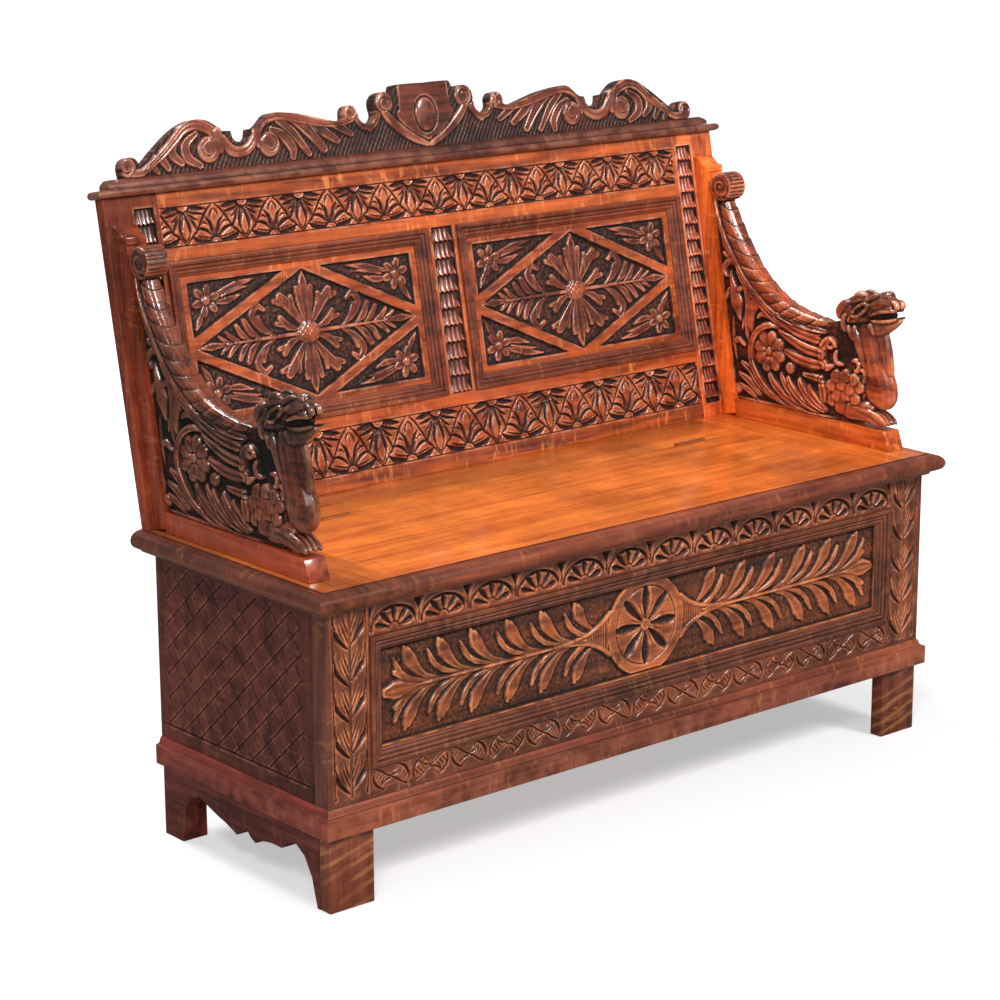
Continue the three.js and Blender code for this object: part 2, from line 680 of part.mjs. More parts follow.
// Feet and side brackets
const footTopZ = footHeight - glueGap;
const footOuter = halfChest - footInset;
const bracketInner = footOuter - bracketThickness;
const footRearY = footInset + footThickness;
for (const [side, sign] of sides) {
  const span = (near, far) => [Math.min(sign * near, sign * far), Math.max(sign * near, sign * far)];
  const [footX0, footX1] = span(footOuter - footWidth, footOuter);
  add(chest, `foot_front_${side}`, box(footX0, footX1, footInset, footRearY, 0, footTopZ), "sideOak");
  const scallops = bracketShares.map(([y, z]) => [y * chestDepth, z * footHeight]);
  const bracketEndY = chestRearY - footInset;
  const outline = [
    [footRearY + glueGap, 0],
    ...scallops,
    [bracketEndY - rearFootWidth, 0],
    [bracketEndY, 0],
    [bracketEndY, footTopZ],
    [footRearY + glueGap, footTopZ],
  ];
  const [bracketX0, bracketX1] = span(bracketInner, footOuter);
  add(chest, `side_bracket_${side}`, alongX(outline, bracketX0, bracketX1), "sideOak");
  const blockOuter = bracketInner - glueGap;
  const [blockX0, blockX1] = span(blockOuter - rearFootThickness, blockOuter);
  const block = box(blockX0, blockX1, bracketEndY - rearFootWidth, bracketEndY, 0, footTopZ);
  add(chest, `foot_rear_${side}`, block, "sideOak");
}

// Seat: fixed side and rear boards round a hinged lid. The nosing runs round the front and sides.
function nosing() {
  return [
    [quirkOverhang, seatTopZ],
    [quirkOverhang, seatTopZ - quirkDepth],
    ...nosingShares.map(([reach, rise]) => [nosingOverhang * reach, seatBottomZ + seatThickness * rise]),
    [nosingOverhang * nosingShares.at(-1)[0], seatBottomZ],
  ];
}
const frontEdge = nosing().map(([reach, z]) => [-reach, z]);
const lidX = lidHalfWidth - lidSideGap;
const railX = lidHalfWidth;
const lidRearFaceY = lidRearY - lidRearGap;
const rearRailFaceY = lidRearY + lidRearGap;

// The hinge's seat in the lid and in the rear rail, which face each other over the joint.
function hingeCutters(x) {
  const half = hingeLength / 2 + leafClearance;
  const leafReach = leafClearance / 2 + leafThickness + leafClearance;
  const leafLow = seatTopZ - leafHeight - leafClearance;
  return [
    box(x - half, x + half, lidRearY - leafReach, lidRearY + leafReach, leafLow, seatTopZ + overrun),
    roundBar(knuckleRadius + knuckleClearance, x - half, x + half, lidRearY, seatTopZ, 24),
  ];
}
const allHingeCutters = sides.flatMap(([, sign]) => hingeCutters(sign * hingeOffset));

for (const [side, sign] of sides) {
  const frontRun = alongX(
    [...frontEdge, [seatRearY, seatBottomZ], [seatRearY, seatTopZ]],
    -halfChest - overrun, halfChest + overrun,
  );
  const sideEdge = nosing().map(([reach, z]) => [sign * (halfChest + reach), z]);
  const sideRun = alongY(
    [...sideEdge, [sign * railX, seatBottomZ], [sign * railX, seatTopZ]], -overrun, seatRearY + overrun,
  );
  add(seat, `seat_side_board_${side}`, common(frontRun, sideRun), "seatOak");
}
const rearRailHalf = railX - glueGap;
const rearRail = box(-rearRailHalf, rearRailHalf, rearRailFaceY, seatRearY, seatBottomZ, seatTopZ);
add(seat, "seat_rear_rail", cut(rearRail, ...allHingeCutters), "seatOak");
const lidBlank = alongX([...frontEdge, [lidRearFaceY, seatBottomZ], [lidRearFaceY, seatTopZ]], -lidX, lidX);
add(seat, "seat_lid", cut(lidBlank, ...allHingeCutters), "seatOak");

for (const [side, sign] of sides) {
  const middle = sign * battenOffset;
  const batten = box(
    middle - battenWidth / 2, middle + battenWidth / 2,
    frontThickness + battenEndSpace, lidRearFaceY - battenEndSpace,
    seatBottomZ - glueGap - battenThickness, seatBottomZ - glueGap,
  );
  add(seat, `lid_batten_${side}`, batten, "plainOak");
}

// Butt hinges: the outer knuckles belong to the fixed leaf, the middle one to the lid's leaf.
function hingeLeaf(x, reachSign, ownKnuckles, otherKnuckles) {
  const near = lidRearY + (reachSign * leafClearance) / 2;
  const far = near + reachSign * leafThickness;
  const half = hingeLength / 2;
  const plate = box(
    x - half, x + half, Math.min(near, far), Math.max(near, far), seatTopZ - leafHeight, seatTopZ,
  );
  const knuckles = ownKnuckles.map(([a, b]) => roundBar(knuckleRadius, x + a, x + b, lidRearY, seatTopZ, 20));
  const clearings = otherKnuckles.map(([a, b]) =>
    roundBar(knuckleRadius + knuckleClearance, x + a - knuckleGap, x + b + knuckleGap, lidRearY, seatTopZ, 20),
  );
  const bore = roundBar(
    pinRadius + pinClearance, x - half - overrun, x + half + overrun, lidRearY, seatTopZ, 16,
  );
  return cut(join(plate, ...knuckles), ...clearings, bore);
}
const knuckleRun = hingeLength / knuckleCount;
const outerKnuckles = [
  [-hingeLength / 2, -knuckleRun / 2 - knuckleGap / 2],
  [knuckleRun / 2 + knuckleGap / 2, hingeLength / 2],
];
const middleKnuckle = [[-knuckleRun / 2 + knuckleGap / 2, knuckleRun / 2 - knuckleGap / 2]];
for (const [side, sign] of sides) {
  const x = sign * hingeOffset;
  add(seat, `hinge_fixed_leaf_${side}`, hingeLeaf(x, 1, outerKnuckles, middleKnuckle), "steel");
  add(seat, `hinge_lid_leaf_${side}`, hingeLeaf(x, -1, middleKnuckle, outerKnuckles), "steel");
  const pin = roundBar(pinRadius, x - hingeLength / 2, x + hingeLength / 2, lidRearY, seatTopZ, 16);
  add(seat, `hinge_pin_${side}`, pin, "steel");
}

// Back: a grooved frame with two panels. Its foot is cut level to stand on the seat.
const seatPlane = box(-halfChest - overrun, halfChest + overrun, -overrun, overrun, -overrun, glueGap);
seatPlane.rotateX(backRake);
const onBack = (x, s, w) => [x, w, s];
const panelLowS = backBottomRailHeight;
const panelHighS = backHeight - backTopRailHeight;
const stileInnerX = backHalfWidth - backStileWidth;

for (const [side, sign] of sides) {
  const member = {
    u0: backBelow,
    u1: backHeight - glueGap,
    v0: sign < 0 ? -backHalfWidth : stileInnerX,
    v1: sign < 0 ? -stileInnerX : backHalfWidth,
    depth: backThickness,
    grooveLow: sign > 0,
    grooveHigh: sign < 0,
  };
  add(back, `back_stile_${side}`, cut(frameMember(member, (u, v, w) => [v, w, u]), seatPlane), "backOak");
}
const backRails = [
  ["back_top_rail", panelHighS, backHeight - glueGap, true],
  ["back_bottom_rail", backBelow, panelLowS, false],
];
for (const [name, v0, v1, isTop] of backRails) {
  const member = {
    u0: -stileInnerX + glueGap,
    u1: stileInnerX - glueGap,
    v0,
    v1,
    depth: backThickness,
    grooveLow: isTop,
    grooveHigh: !isTop,
    tenons: true,
  };
  add(back, name, cut(frameMember(member, (u, v, w) => [u, w, v]), seatPlane), "backOak");
}
const muntin = {
  u0: panelLowS + glueGap,
  u1: panelHighS - glueGap,
  v0: -muntinWidth / 2,
  v1: muntinWidth / 2,
  depth: backThickness,
  grooveLow: true,
  grooveHigh: true,
  tenons: true,
};
add(back, "back_muntin", frameMember(muntin, (u, v, w) => [v, w, u]), "backOak");
for (const [side, sign] of sides) {
  const near = (sign * muntinWidth) / 2;
  const far = sign * stileInnerX;
  const opening = { a0: Math.min(near, far), a1: Math.max(near, far), b0: panelLowS, b1: panelHighS };
  const middle = [(near + far) / 2, (panelLowS + panelHighS) / 2];
  add(back, `back_panel_${side}`, lozengeCarving(panelBoard(opening, onBack), middle, onBack), "carvedOak");
  panelMouldings(back, `back_moulding_${side}`, opening, onBack, "carvedOak");
}

// Cap moulding and crest base, returned round both ends
function returnedRun(edge, s0, s1, halfWidth, rear) {
  const outline = [...edge.map(([reach, s]) => [-reach, s]), [rear, s1], [rear, s0]];
  const front = alongX(outline, -overrun - halfWidth, overrun + halfWidth);
  const right = edge.map(([reach, s]) => [halfWidth + reach, s]);
  const left = edge.map(([reach, s]) => [-halfWidth - reach, s]).reverse();
  return common(front, alongY([...right, ...left], -overrun, rear + overrun));
}
const capEdge = capShares.map(([reach, rise]) => [capOverhang * reach, backHeight + capHeight * rise]);
const capTopS = backHeight + capHeight;
add(back, "cap_moulding", returnedRun(capEdge, backHeight, capTopS, backHalfWidth, backThickness), "sideOak");
const baseLowS = capTopS + glueGap;
const baseTopS = capTopS + crestBaseHeight;
const crestBaseEdge = [[0, baseLowS], [0, baseLowS + glueGap], [-crestBaseBevel, baseTopS]];
const crestBase = drawn(
  [
    [-crestBaseOverhang, baseLowS], [-crestBaseOverhang, baseLowS + crestBaseLip],
    [0, baseTopS], [backThickness, baseTopS], [backThickness, baseLowS],
  ],
  (w, s, t) => [between(-crestBaseHalfWidth, crestBaseHalfWidth, t), w, s],
);
const crestBaseEnds = alongY(
  [
    ...crestBaseEdge.map(([reach, s]) => [crestBaseHalfWidth + reach, s]),
    ...crestBaseEdge.map(([reach, s]) => [-crestBaseHalfWidth - reach, s]).reverse(),
  ],
  -overrun, backThickness + overrun,
);
add(back, "crest_base", common(crestBase, crestBaseEnds), "sideOak");

const crestLowS = baseTopS + glueGap;
const crestHalf = crestShares.map(([x, s]) => [x * crestHalfWidth, crestLowS + s * crestHeight]);
const crestOutline = [...crestHalf, ...crestHalf.slice(1).map(([x, s]) => [-x, s]).reverse()];
const crestFrontW = backThickness - crestThickness;
const crestBoard = drawn(crestOutline, (x, s, t) => [x, between(crestFrontW, backThickness, t), s]);
add(back, "crest_board", crestBoard, "carvedOak");

// Arms: a post on the raked back, a rail on the seat and the carved beast between them.
function postFaceY(z) {
  return backFootY - (postDepth + glueGap) / Math.cos(backRake) + (z - seatTopZ) * rakeRise;
}
function beastPoint([length, rise]) {
  return [beastFrontY + length * beastLength, armRailTopZ + glueGap + rise * beastHeight];
}

function beast(x0, x1) {
  const middle = (x0 + x1) / 2;
  const span = (width) => [middle - width / 2, middle + width / 2];
  const [webX0, webX1] = span(webWidth);
  const [carvingX0, carvingX1] = span(carvingWidth);
  const [headX0, headX1] = span(headWidth);
  const [voluteX0, voluteX1] = span(voluteWidth);
  const [ringX0, ringX1] = span(ringWidth);
  const webTop = beastPoint(webShares.at(-1))[1];
  const web = [
    ...webShares.map(beastPoint),
    [postFaceY(webTop) - glueGap, webTop],
    [postFaceY(armRailTopZ) - glueGap, armRailTopZ + glueGap],
  ];
  const spine = new THREE.CatmullRomCurve3(
    wingRailShares.map(beastPoint).map(([y, z]) => new THREE.Vector3(middle, y, z)),
  );
  const section = new THREE.Shape();
  section.absellipse(0, 0, armWidth / 2, wingRailDepth / 2, 0, 2 * Math.PI);
  const squared = section.getPoints(4).slice(0, -1).map((p) => {
    const reach = Math.pow(
      Math.pow(Math.abs(p.x * 2) / armWidth, 3) + Math.pow(Math.abs(p.y * 2) / wingRailDepth, 3), -1 / 3,
    );
    return new THREE.Vector2(p.x * reach, p.y * reach);
  });
  const wingRail = new THREE.ExtrudeGeometry(new THREE.Shape(squared), { steps: 16, extrudePath: spine });
  const [rosetteY, rosetteZ] = beastPoint(rosetteShare);
  const [voluteY, voluteZ] = beastPoint(voluteShare);
  const neckRounding = wingRailDepth * neckRoundingShare;
  const featherRounding = wingRailDepth * featherRoundingShare;
  const headRounding = wingRailDepth * headRoundingShare;
  return join(
    alongX(web, webX0, webX1),
    wingRail,
    roundedBoard(featherShares.map(beastPoint), carvingX0, carvingX1, featherRounding, 1),
    roundedBoard(shoulderShares.map(beastPoint), carvingX0, carvingX1, featherRounding, 1),
    roundedBoard(neckShares.map(beastPoint), carvingX0, carvingX1, neckRounding, 3),
    roundedBoard(headShares.map(beastPoint), headX0, headX1, headRounding, 1),
    roundedBoard(pawShares.map(beastPoint), carvingX0, carvingX1, headRounding, 1),
    cut(
      roundBar(ringRadius, ringX0, ringX1, rosetteY, rosetteZ, 28),
      roundBar(rosetteRadius, ringX0 - overrun, ringX1 + overrun, rosetteY, rosetteZ, 24),
    ),
    roundBar(rosetteRadius * rosetteButtonShare, carvingX0, carvingX1, rosetteY, rosetteZ, 12),
    roundBar(voluteRadius, voluteX0, voluteX1, voluteY, voluteZ, 24),
  );
}

for (const [side, sign] of sides) {
  const x0 = sign < 0 ? -armInnerX - armWidth : armInnerX;
  const x1 = x0 + armWidth;
  const postOutline = [
    [-glueGap, backBelow],
    ...postTopShares.map(([w, s]) => [-w * postDepth - glueGap, s * postHeight]),
    [-postDepth - glueGap, backBelow],
  ];
  add(back, `arm_post_${side}`, cut(alongX(postOutline, x0, x1), seatPlane), "sideOak");
  const railLowZ = seatTopZ + glueGap;
  const railOutline = [
    [armFrontY, railLowZ],
    [beastFrontY, armRailTopZ],
    [postFaceY(armRailTopZ) - glueGap, armRailTopZ],
    [postFaceY(railLowZ) - glueGap, railLowZ],
  ];
  add(arms, `arm_rail_${side}`, alongX(railOutline, x0, x1), "sideOak");
  add(arms, `arm_beast_${side}`, beast(x0, x1), "carvedOak");
}

// The origin goes under the middle of the whole bench.
const extent = new THREE.Box3().setFromObject(settle, true);
const centre = extent.getCenter(new THREE.Vector3());
settle.position.set(-centre.x, -centre.y, -extent.min.z);
settle.updateMatrixWorld(true);

export default settle;
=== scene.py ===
import math
import bmesh
import bpy
import numpy as np
from mathutils import Matrix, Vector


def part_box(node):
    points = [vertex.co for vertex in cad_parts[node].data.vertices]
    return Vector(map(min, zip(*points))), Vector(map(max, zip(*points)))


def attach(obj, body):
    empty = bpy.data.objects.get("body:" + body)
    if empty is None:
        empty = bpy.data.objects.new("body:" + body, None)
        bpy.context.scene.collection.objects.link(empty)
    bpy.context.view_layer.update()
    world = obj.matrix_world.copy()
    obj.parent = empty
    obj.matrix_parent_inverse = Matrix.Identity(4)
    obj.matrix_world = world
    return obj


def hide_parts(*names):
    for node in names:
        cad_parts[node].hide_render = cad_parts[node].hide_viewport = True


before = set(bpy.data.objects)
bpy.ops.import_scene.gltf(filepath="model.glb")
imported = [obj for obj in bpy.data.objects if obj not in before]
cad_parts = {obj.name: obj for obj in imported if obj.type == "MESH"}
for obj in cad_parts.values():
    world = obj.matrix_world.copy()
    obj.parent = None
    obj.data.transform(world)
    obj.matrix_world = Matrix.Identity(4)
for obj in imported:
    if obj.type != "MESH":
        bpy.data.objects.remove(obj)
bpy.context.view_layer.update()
mm = 0.001
print("frame loaded")


def nodeBox(name):
    low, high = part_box(name)
    return np.array(low) / mm, np.array(high) / mm


# Faces that the carving is drawn on: origin and axes, lengths in millimetres
rake = math.radians(11.08)
frontY = nodeBox("chest_front_stile_left")[0][1]
seatTop = nodeBox("seat_lid")[1][2]
backY = frontY + 413
frontFace = {"origin": (0, frontY, 0), "u": (1, 0, 0), "v": (0, 0, 1), "n": (0, -1, 0)}
backFace = {
    "origin": (0, backY, seatTop),
    "u": (1, 0, 0),
    "v": (0, math.sin(rake), math.cos(rake)),
    "n": (0, -math.cos(rake), math.sin(rake)),
}
leftX = nodeBox("chest_side_left")[0][0]
rightX = nodeBox("chest_side_right")[1][0]
leftFace = {"origin": (leftX, frontY, 0), "u": (0, -1, 0), "v": (0, 0, 1), "n": (-1, 0, 0)}
rightFace = {"origin": (rightX, frontY, 0), "u": (0, 1, 0), "v": (0, 0, 1), "n": (1, 0, 0)}
sides = ((-1, "left"), (1, "right"))
frameSides = ("bottom", "top", "left", "right")


def onFace(face, u, v, n):
    spots = [np.asarray(values, float)[..., None] for values in np.broadcast_arrays(u, v, n)]
    place = spots[0] * face["u"] + spots[1] * face["v"] + spots[2] * face["n"]
    return (place + face["origin"]) * mm


# A relief is a height over a face: 0 at the board's face, less where wood is taken away


def evenly(low, high, step):
    return np.linspace(low, high, max(2, round((high - low) / step) + 1))


def rimmed(low, high, step):
    return np.concatenate([[low], evenly(low + 0.8, high - 0.8, step), [high]])


def newRelief(us, vs):
    u, v = np.meshgrid(us, vs, indexing="ij")
    return {"us": us, "vs": vs, "u": u, "v": v, "h": np.zeros(u.shape)}


def boardRelief(low, high, foot, top, step, stepUp=None):
    return newRelief(rimmed(low, high, step), rimmed(foot, top, stepUp or step))


def smoothLine(points, steps=6):
    p = np.array(points, float)
    p = np.vstack([2 * p[0] - p[1], p, 2 * p[-1] - p[-2]])
    t = np.linspace(0, 1, steps, endpoint=False)[:, None]
    parts = []
    for a, b, c, d in zip(p[:-3], p[1:-2], p[2:-1], p[3:]):
        parts.append(b + 0.5 * t * (c - a + t * (2 * a - 5 * b + 4 * c - d + t * (3 * b - a - 3 * c + d))))
    return np.vstack(parts + [p[-2:-1]])


def alongLine(u, v, line):
    best = np.full(u.shape, 1e9)
    share = np.zeros(u.shape)
    side = np.ones(u.shape)
    count = len(line) - 1
    for k in range(count):
        a = line[k]
        d = line[k + 1] - a
        s = np.clip(((u - a[0]) * d[0] + (v - a[1]) * d[1]) / max(d @ d, 1e-9), 0, 1)
        du = u - a[0] - s * d[0]
        dv = v - a[1] - s * d[1]
        gap = du * du + dv * dv
        nearer = gap < best
        best = np.where(nearer, gap, best)
        share = np.where(nearer, (k + s) / count, share)
        side = np.where(nearer, np.sign(d[0] * dv - d[1] * du), side)
    return share, np.sqrt(best), side


def around(relief, line, reach):
    us, vs = relief["us"], relief["vs"]
    low, high = line.min(0) - reach, line.max(0) + reach
    return slice(*np.searchsorted(us, (low[0], high[0]))), slice(*np.searchsorted(vs, (low[1], high[1])))


def spread(values, share):
    values = np.atleast_1d(values)
    return np.interp(share, np.linspace(0, 1, len(values)), values)


def strokeOn(relief, points, widths, straight):
    line = np.array(points, float) if straight else smoothLine(points)
    window = around(relief, line, max(np.atleast_1d(widths)) + 1)
    share, gap, side = alongLine(relief["u"][window], relief["v"][window], line)
    return window, share, gap, np.maximum(spread(widths, share), 0.1)


def raiseStroke(relief, points, widths, top=0.0, edge=-2.5, vein=0.0, flutes=0.0, straight=False):
    window, share, gap, width = strokeOn(relief, points, widths, straight)
    across = gap / width
    crown = spread(top, share)
    h = edge + (crown - edge) * np.sqrt(np.clip(1 - across ** 3, 0, 1))
    h = h - vein * np.clip(1 - gap / (0.16 * width + 0.5), 0, 1)
    h = h - flutes * (0.5 - 0.5 * np.cos(3 * math.pi * across)) * np.clip(width / 4 - 0.4, 0, 1)
    part = relief["h"][window]
    cover = np.clip((width - gap) / 0.9 + 0.5, 0, 1)
    relief["h"][window] = part + (np.maximum(h, part) - part) * cover


def gouge(relief, points, widths, depth, top=0.0, straight=False):
    window, share, gap, width = strokeOn(relief, points, widths, straight)
    across = gap / width
    hollow = top - spread(depth, share) * (1 - across ** 2)
    part = relief["h"][window]
    relief["h"][window] = np.where(across < 1, np.minimum(part, hollow), part)


def discOn(relief, centre, radii):
    window = around(relief, np.array([centre, centre], float), max(radii) + 1)
    across = np.hypot(
        (relief["u"][window] - centre[0]) / radii[0], (relief["v"][window] - centre[1]) / radii[1]
    )
    return window, across


def liftInside(relief, window, across, h):
    part = relief["h"][window]
    relief["h"][window] = np.where((across < 1) & (h > part), h, part)


def raiseDisc(relief, centre, radii, top=0.0, edge=-2.5):
    window, across = discOn(relief, centre, radii)
    liftInside(relief, window, across, edge + (top - edge) * np.sqrt(np.clip(1 - across ** 2, 0, 1)))


def scrollPoints(centre, radius, start, turns, inner=0.25):
    turn = np.linspace(0, 1, max(7, int(abs(turns) * 14)))
    reach = radius * (1 - (1 - inner) * turn)
    angle = start + turns * 2 * math.pi * turn
    return np.stack([centre[0] + reach * np.cos(angle), centre[1] + reach * np.sin(angle)], 1)


def raiseScroll(relief, centre, radius, start, turns, width, top=0.0, edge=-2.5):
    # a flat disc with one hollow line curling into it
    window, across = discOn(relief, centre, (radius, radius))
    dish = 0.7 * np.clip(1 - across * 1.6, 0, 1)
    liftInside(relief, window, across, edge + (top - edge) * np.clip(1 - across ** 8, 0, 1) - dish)
    gouge(relief, scrollPoints(centre, radius - width, start, turns, 0.45), [1.5, 1.2, 0.7], 2.4, top)


def blurred(h, rounds):
    h = np.pad(h, 1, mode="edge")
    for _ in range(rounds):
        h[1:-1] = (h[:-2] + 2 * h[1:-1] + h[2:]) / 4
        h[:, 1:-1] = (h[:, :-2] + 2 * h[:, 1:-1] + h[:, 2:]) / 4
    return h[1:-1, 1:-1]


def punchGround(relief, below, amount, seed):
    grain = np.random.default_rng(seed).normal(0, amount, relief["h"].shape)
    relief["h"] += np.where(relief["h"] < below, blurred(grain, 1), 0)


# How a piece is finished and handed to its body


def finishPiece(mesh, name, body, nodes, material, angle=35):
    piece = bpy.data.objects.new(name, mesh)
    bpy.context.scene.collection.objects.link(piece)
    mesh.polygons.foreach_set("use_smooth", [True] * len(mesh.polygons))
    mesh.set_sharp_from_angle(angle=math.radians(angle))
    mesh.materials.append(material)
    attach(piece, body)
    if nodes:
        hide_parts(*nodes)
    return piece


def giveTone(mesh, recess, wearAndHighlight, worked):
    for name, values in (("recess", recess), ("wearAndHighlight", wearAndHighlight), ("worked", worked)):
        tone = mesh.attributes.new(name, "FLOAT", "POINT")
        tone.data.foreach_set("value", np.clip(values, 0, 1).astype(np.float32))


def inside(points, outline):
    a, b = outline, np.roll(outline, -1, axis=0)
    u, v = points[:, 0], points[:, 1]
    count = np.zeros(len(points), bool)
    for p, q in zip(a, b):
        crosses = (p[1] > v) != (q[1] > v)
        reach = p[0] + (v - p[1]) * (q[0] - p[0]) / (q[1] - p[1] if q[1] != p[1] else 1e-9)
        count ^= crosses & (u < reach)
    return count


# how dark the sunk ground and hollows go (dark wax and painted shade), and how light ridges and flat tops
# go (wear and a painted highlight)
toning = {
    "ridge": 0.8, "flatWearAndSheen": 0.1, "flatAbove": -1.2, "ground": 0.72, "groundBelow": 0.7, "hollow": 0.5,
    "hollowDeep": 1.6, "cutBelow": -0.6
}


def carvedBoard(name, face, relief, thickness, nodes, material, depth=5.0, outline=None, rubAndHighlight=1.0):
    us, vs, h = relief["us"], relief["vs"], relief["h"]
    # recess darkens the sunk ground and hollows: dark wax and painted shade; the wear tone lightens ridges:
    # rubbed wear and a painted highlight
    low = blurred(h, 10)
    flatWearAndSheen = toning["flatWearAndSheen"] * (h > toning["flatAbove"])
    wearAndHighlight = ((h - blurred(h, 4)) / toning["ridge"] + flatWearAndSheen) * rubAndHighlight
    ground = toning["ground"] * np.clip(-(h + toning["groundBelow"]) / depth, 0, 1)
    recess = ground + toning["hollow"] * np.clip((low - h) / toning["hollowDeep"], 0, 1)
    recess = recess * (1 - 0.5 * np.clip(wearAndHighlight, 0, 1))
    worked = 2.2 * blurred((h < toning["cutBelow"]).astype(float), 12)
    if outline is None:
        for edge in (h[0], h[-1], h[:, 0], h[:, -1]):
            np.minimum(edge, -0.7, out=edge)
    board = bmesh.new()
    bmesh.ops.create_grid(board, x_segments=len(us) - 1, y_segments=len(vs) - 1, size=0.5)
    mesh = bpy.data.meshes.new(name)
    board.to_mesh(mesh)
    flat = np.empty(len(mesh.vertices) * 3)
    mesh.vertices.foreach_get("co", flat)
    flat = flat.reshape(-1, 3)
    i = np.rint((flat[:, 0] + 0.5) * (len(us) - 1)).astype(int)
    j = np.rint((flat[:, 1] + 0.5) * (len(vs) - 1)).astype(int)
    spots = np.stack([us[i], vs[j], h[i, j]], 1)
    back = board.verts.layers.float.new("back")
    keep = board.verts.layers.int.new("keep")
    board.verts.index_update()
    for v in board.verts:
        v[keep] = v.index
    if outline is not None:
        spots, spare = fitOutline(spots, outline, us[2] - us[1])
        outer = [f for f in board.faces if any(spare[v[keep]] for v in f.verts)]
        bmesh.ops.delete(board, geom=outer, context="FACES")
    rim = [edge for edge in board.edges if edge.is_boundary]
    made = bmesh.ops.extrude_edge_only(board, edges=rim)["geom"]
    for v in made:
        if isinstance(v, bmesh.types.BMVert):
            v[back] = 1
    bmesh.ops.holes_fill(board, edges=[e for e in made if isinstance(e, bmesh.types.BMEdge)], sides=0)
    loose = [v for v in board.verts if not v.link_faces]
    bmesh.ops.delete(board, geom=loose, context="VERTS")
    board.to_mesh(mesh)
    board.free()
    count = len(mesh.vertices)
    source = np.empty(count, int)
    behind = np.empty(count)
    mesh.attributes["keep"].data.foreach_get("value", source)
    mesh.attributes["back"].data.foreach_get("value", behind)
    behind = behind > 0.5
    n = np.where(behind, -thickness, spots[source, 2])
    mesh.vertices.foreach_set("co", onFace(face, spots[source, 0], spots[source, 1], n).ravel())
    tones = [
        np.where(behind, rest, tone[i, j][source]) for tone,
        rest in ((recess, 0.25), (wearAndHighlight, 0), (worked, 0))
    ]
    giveTone(mesh, *tones)
    for spare in ("keep", "back"):
        mesh.attributes.remove(mesh.attributes[spare])
    mesh.update()
    return finishPiece(mesh, name, "settle", nodes, material, 60)


def fitOutline(spots, outline, step):
    # points close to the outline are drawn onto it, and those outside are dropped
    closed = np.vstack([outline, outline[:1]])
    share, gap, side = alongLine(spots[:, 0], spots[:, 1], closed)
    within = inside(spots[:, :2], outline)
    spot = share * (len(closed) - 1)
    k = np.minimum(spot.astype(int), len(closed) - 2)
    on = closed[k] + (closed[k + 1] - closed[k]) * (spot - k)[:, None]
    near = gap < 0.62 * step
    spots[near, :2] = on[near]
    return spots, ~within & ~near


def loft(board, rings, closed=False):
    # rings of points (ring, point, xyz) in metres become one closed skin
    rings = np.concatenate([rings, rings[:, :1]], axis=1)
    if closed:
        rings = np.concatenate([rings, rings[:1]], axis=0)
    count, points = rings.shape[0] - 1, rings.shape[1] - 1
    part = bmesh.new()
    bmesh.ops.create_grid(part, x_segments=count, y_segments=points, size=0.5)
    for v in part.verts:
        v.co = rings[round((v.co.x + 0.5) * count), round((v.co.y + 0.5) * points)]
    bmesh.ops.remove_doubles(part, verts=part.verts, dist=1e-7)
    bmesh.ops.holes_fill(part, edges=[edge for edge in part.edges if edge.is_boundary], sides=0)
    bmesh.ops.recalc_face_normals(part, faces=part.faces)
    joinInto(board, part)


def joinInto(board, part):
    carrier = bpy.data.meshes.new("carrier")
    part.to_mesh(carrier)
    part.free()
    board.from_mesh(carrier)
    bpy.data.meshes.remove(carrier)


def addRun(board, profile, place, start, end, startSlope=0, endSlope=0):
    # a moulding: profile points (inset, height) drawn from start to end, mitred by the slopes
    a, n = np.array(profile, float).T
    loft(board, np.array([place(a, n, start + startSlope * a), place(a, n, end + endSlope * a)]))


def roundEdges(board, edges, reach):
    bmesh.ops.bevel(
        board, geom=edges, offset=reach * mm, segments=2, profile=0.5, affect="EDGES", material=-1
    )


def addBox(board, low, high, bevel=0.8):
    part = bmesh.new()
    bmesh.ops.create_cube(part, size=1)
    low, high = np.array(low), np.array(high)
    size = (high - low) * mm
    bmesh.ops.scale(part, verts=part.verts, vec=size)
    bmesh.ops.translate(part, verts=part.verts, vec=(low + high) / 2 * mm)
    if bevel:
        roundEdges(part, part.edges, bevel)
    joinInto(board, part)


def pieceFrom(board, name, body, nodes, material, angle=35, shadedBelow=None):
    mesh = bpy.data.meshes.new(name)
    board.to_mesh(mesh)
    board.free()
    if shadedBelow is not None:
        # below the given height the piece takes its darker carved colours: painted shade
        markRun(mesh, shadedBelow)
    return finishPiece(mesh, name, body, nodes, material, angle)


def markRun(mesh, shadedBelow):
    # hollows and ridges of a moulding, from how its near neighbours stand to each point
    count = len(mesh.vertices)
    place, normal = np.empty(count * 3), np.empty(count * 3)
    mesh.vertices.foreach_get("co", place)
    mesh.vertices.foreach_get("normal", normal)
    place, normal = place.reshape(-1, 3), normal.reshape(-1, 3)
    ends = np.empty(len(mesh.edges) * 2, int)
    mesh.edges.foreach_get("vertices", ends)
    a, b = np.concatenate([ends[0::2], ends[1::2]]), np.concatenate([ends[1::2], ends[0::2]])
    step = place[b] - place[a]
    reach = np.linalg.norm(step, axis=1)
    lean = np.where(reach < 9 * mm, (step * normal[a]).sum(1) / np.maximum(reach, 1e-9), 0)
    hollow = np.bincount(a, lean, count) / 2
    # hollows take recess, which darkens them with painted shade; ridges take wear, which lightens them with
    # a painted highlight
    giveTone(mesh, hollow * 1.5, -hollow * 0.8, place[:, 2] < shadedBelow * mm)


# Oak and its finishes


def tone(r, g, b):
    values = [c / 255 / 12.92 if c <= 10 else ((c / 255 + 0.055) / 1.055) ** 2.4 for c in (r, g, b)]
    return (*values, 1)


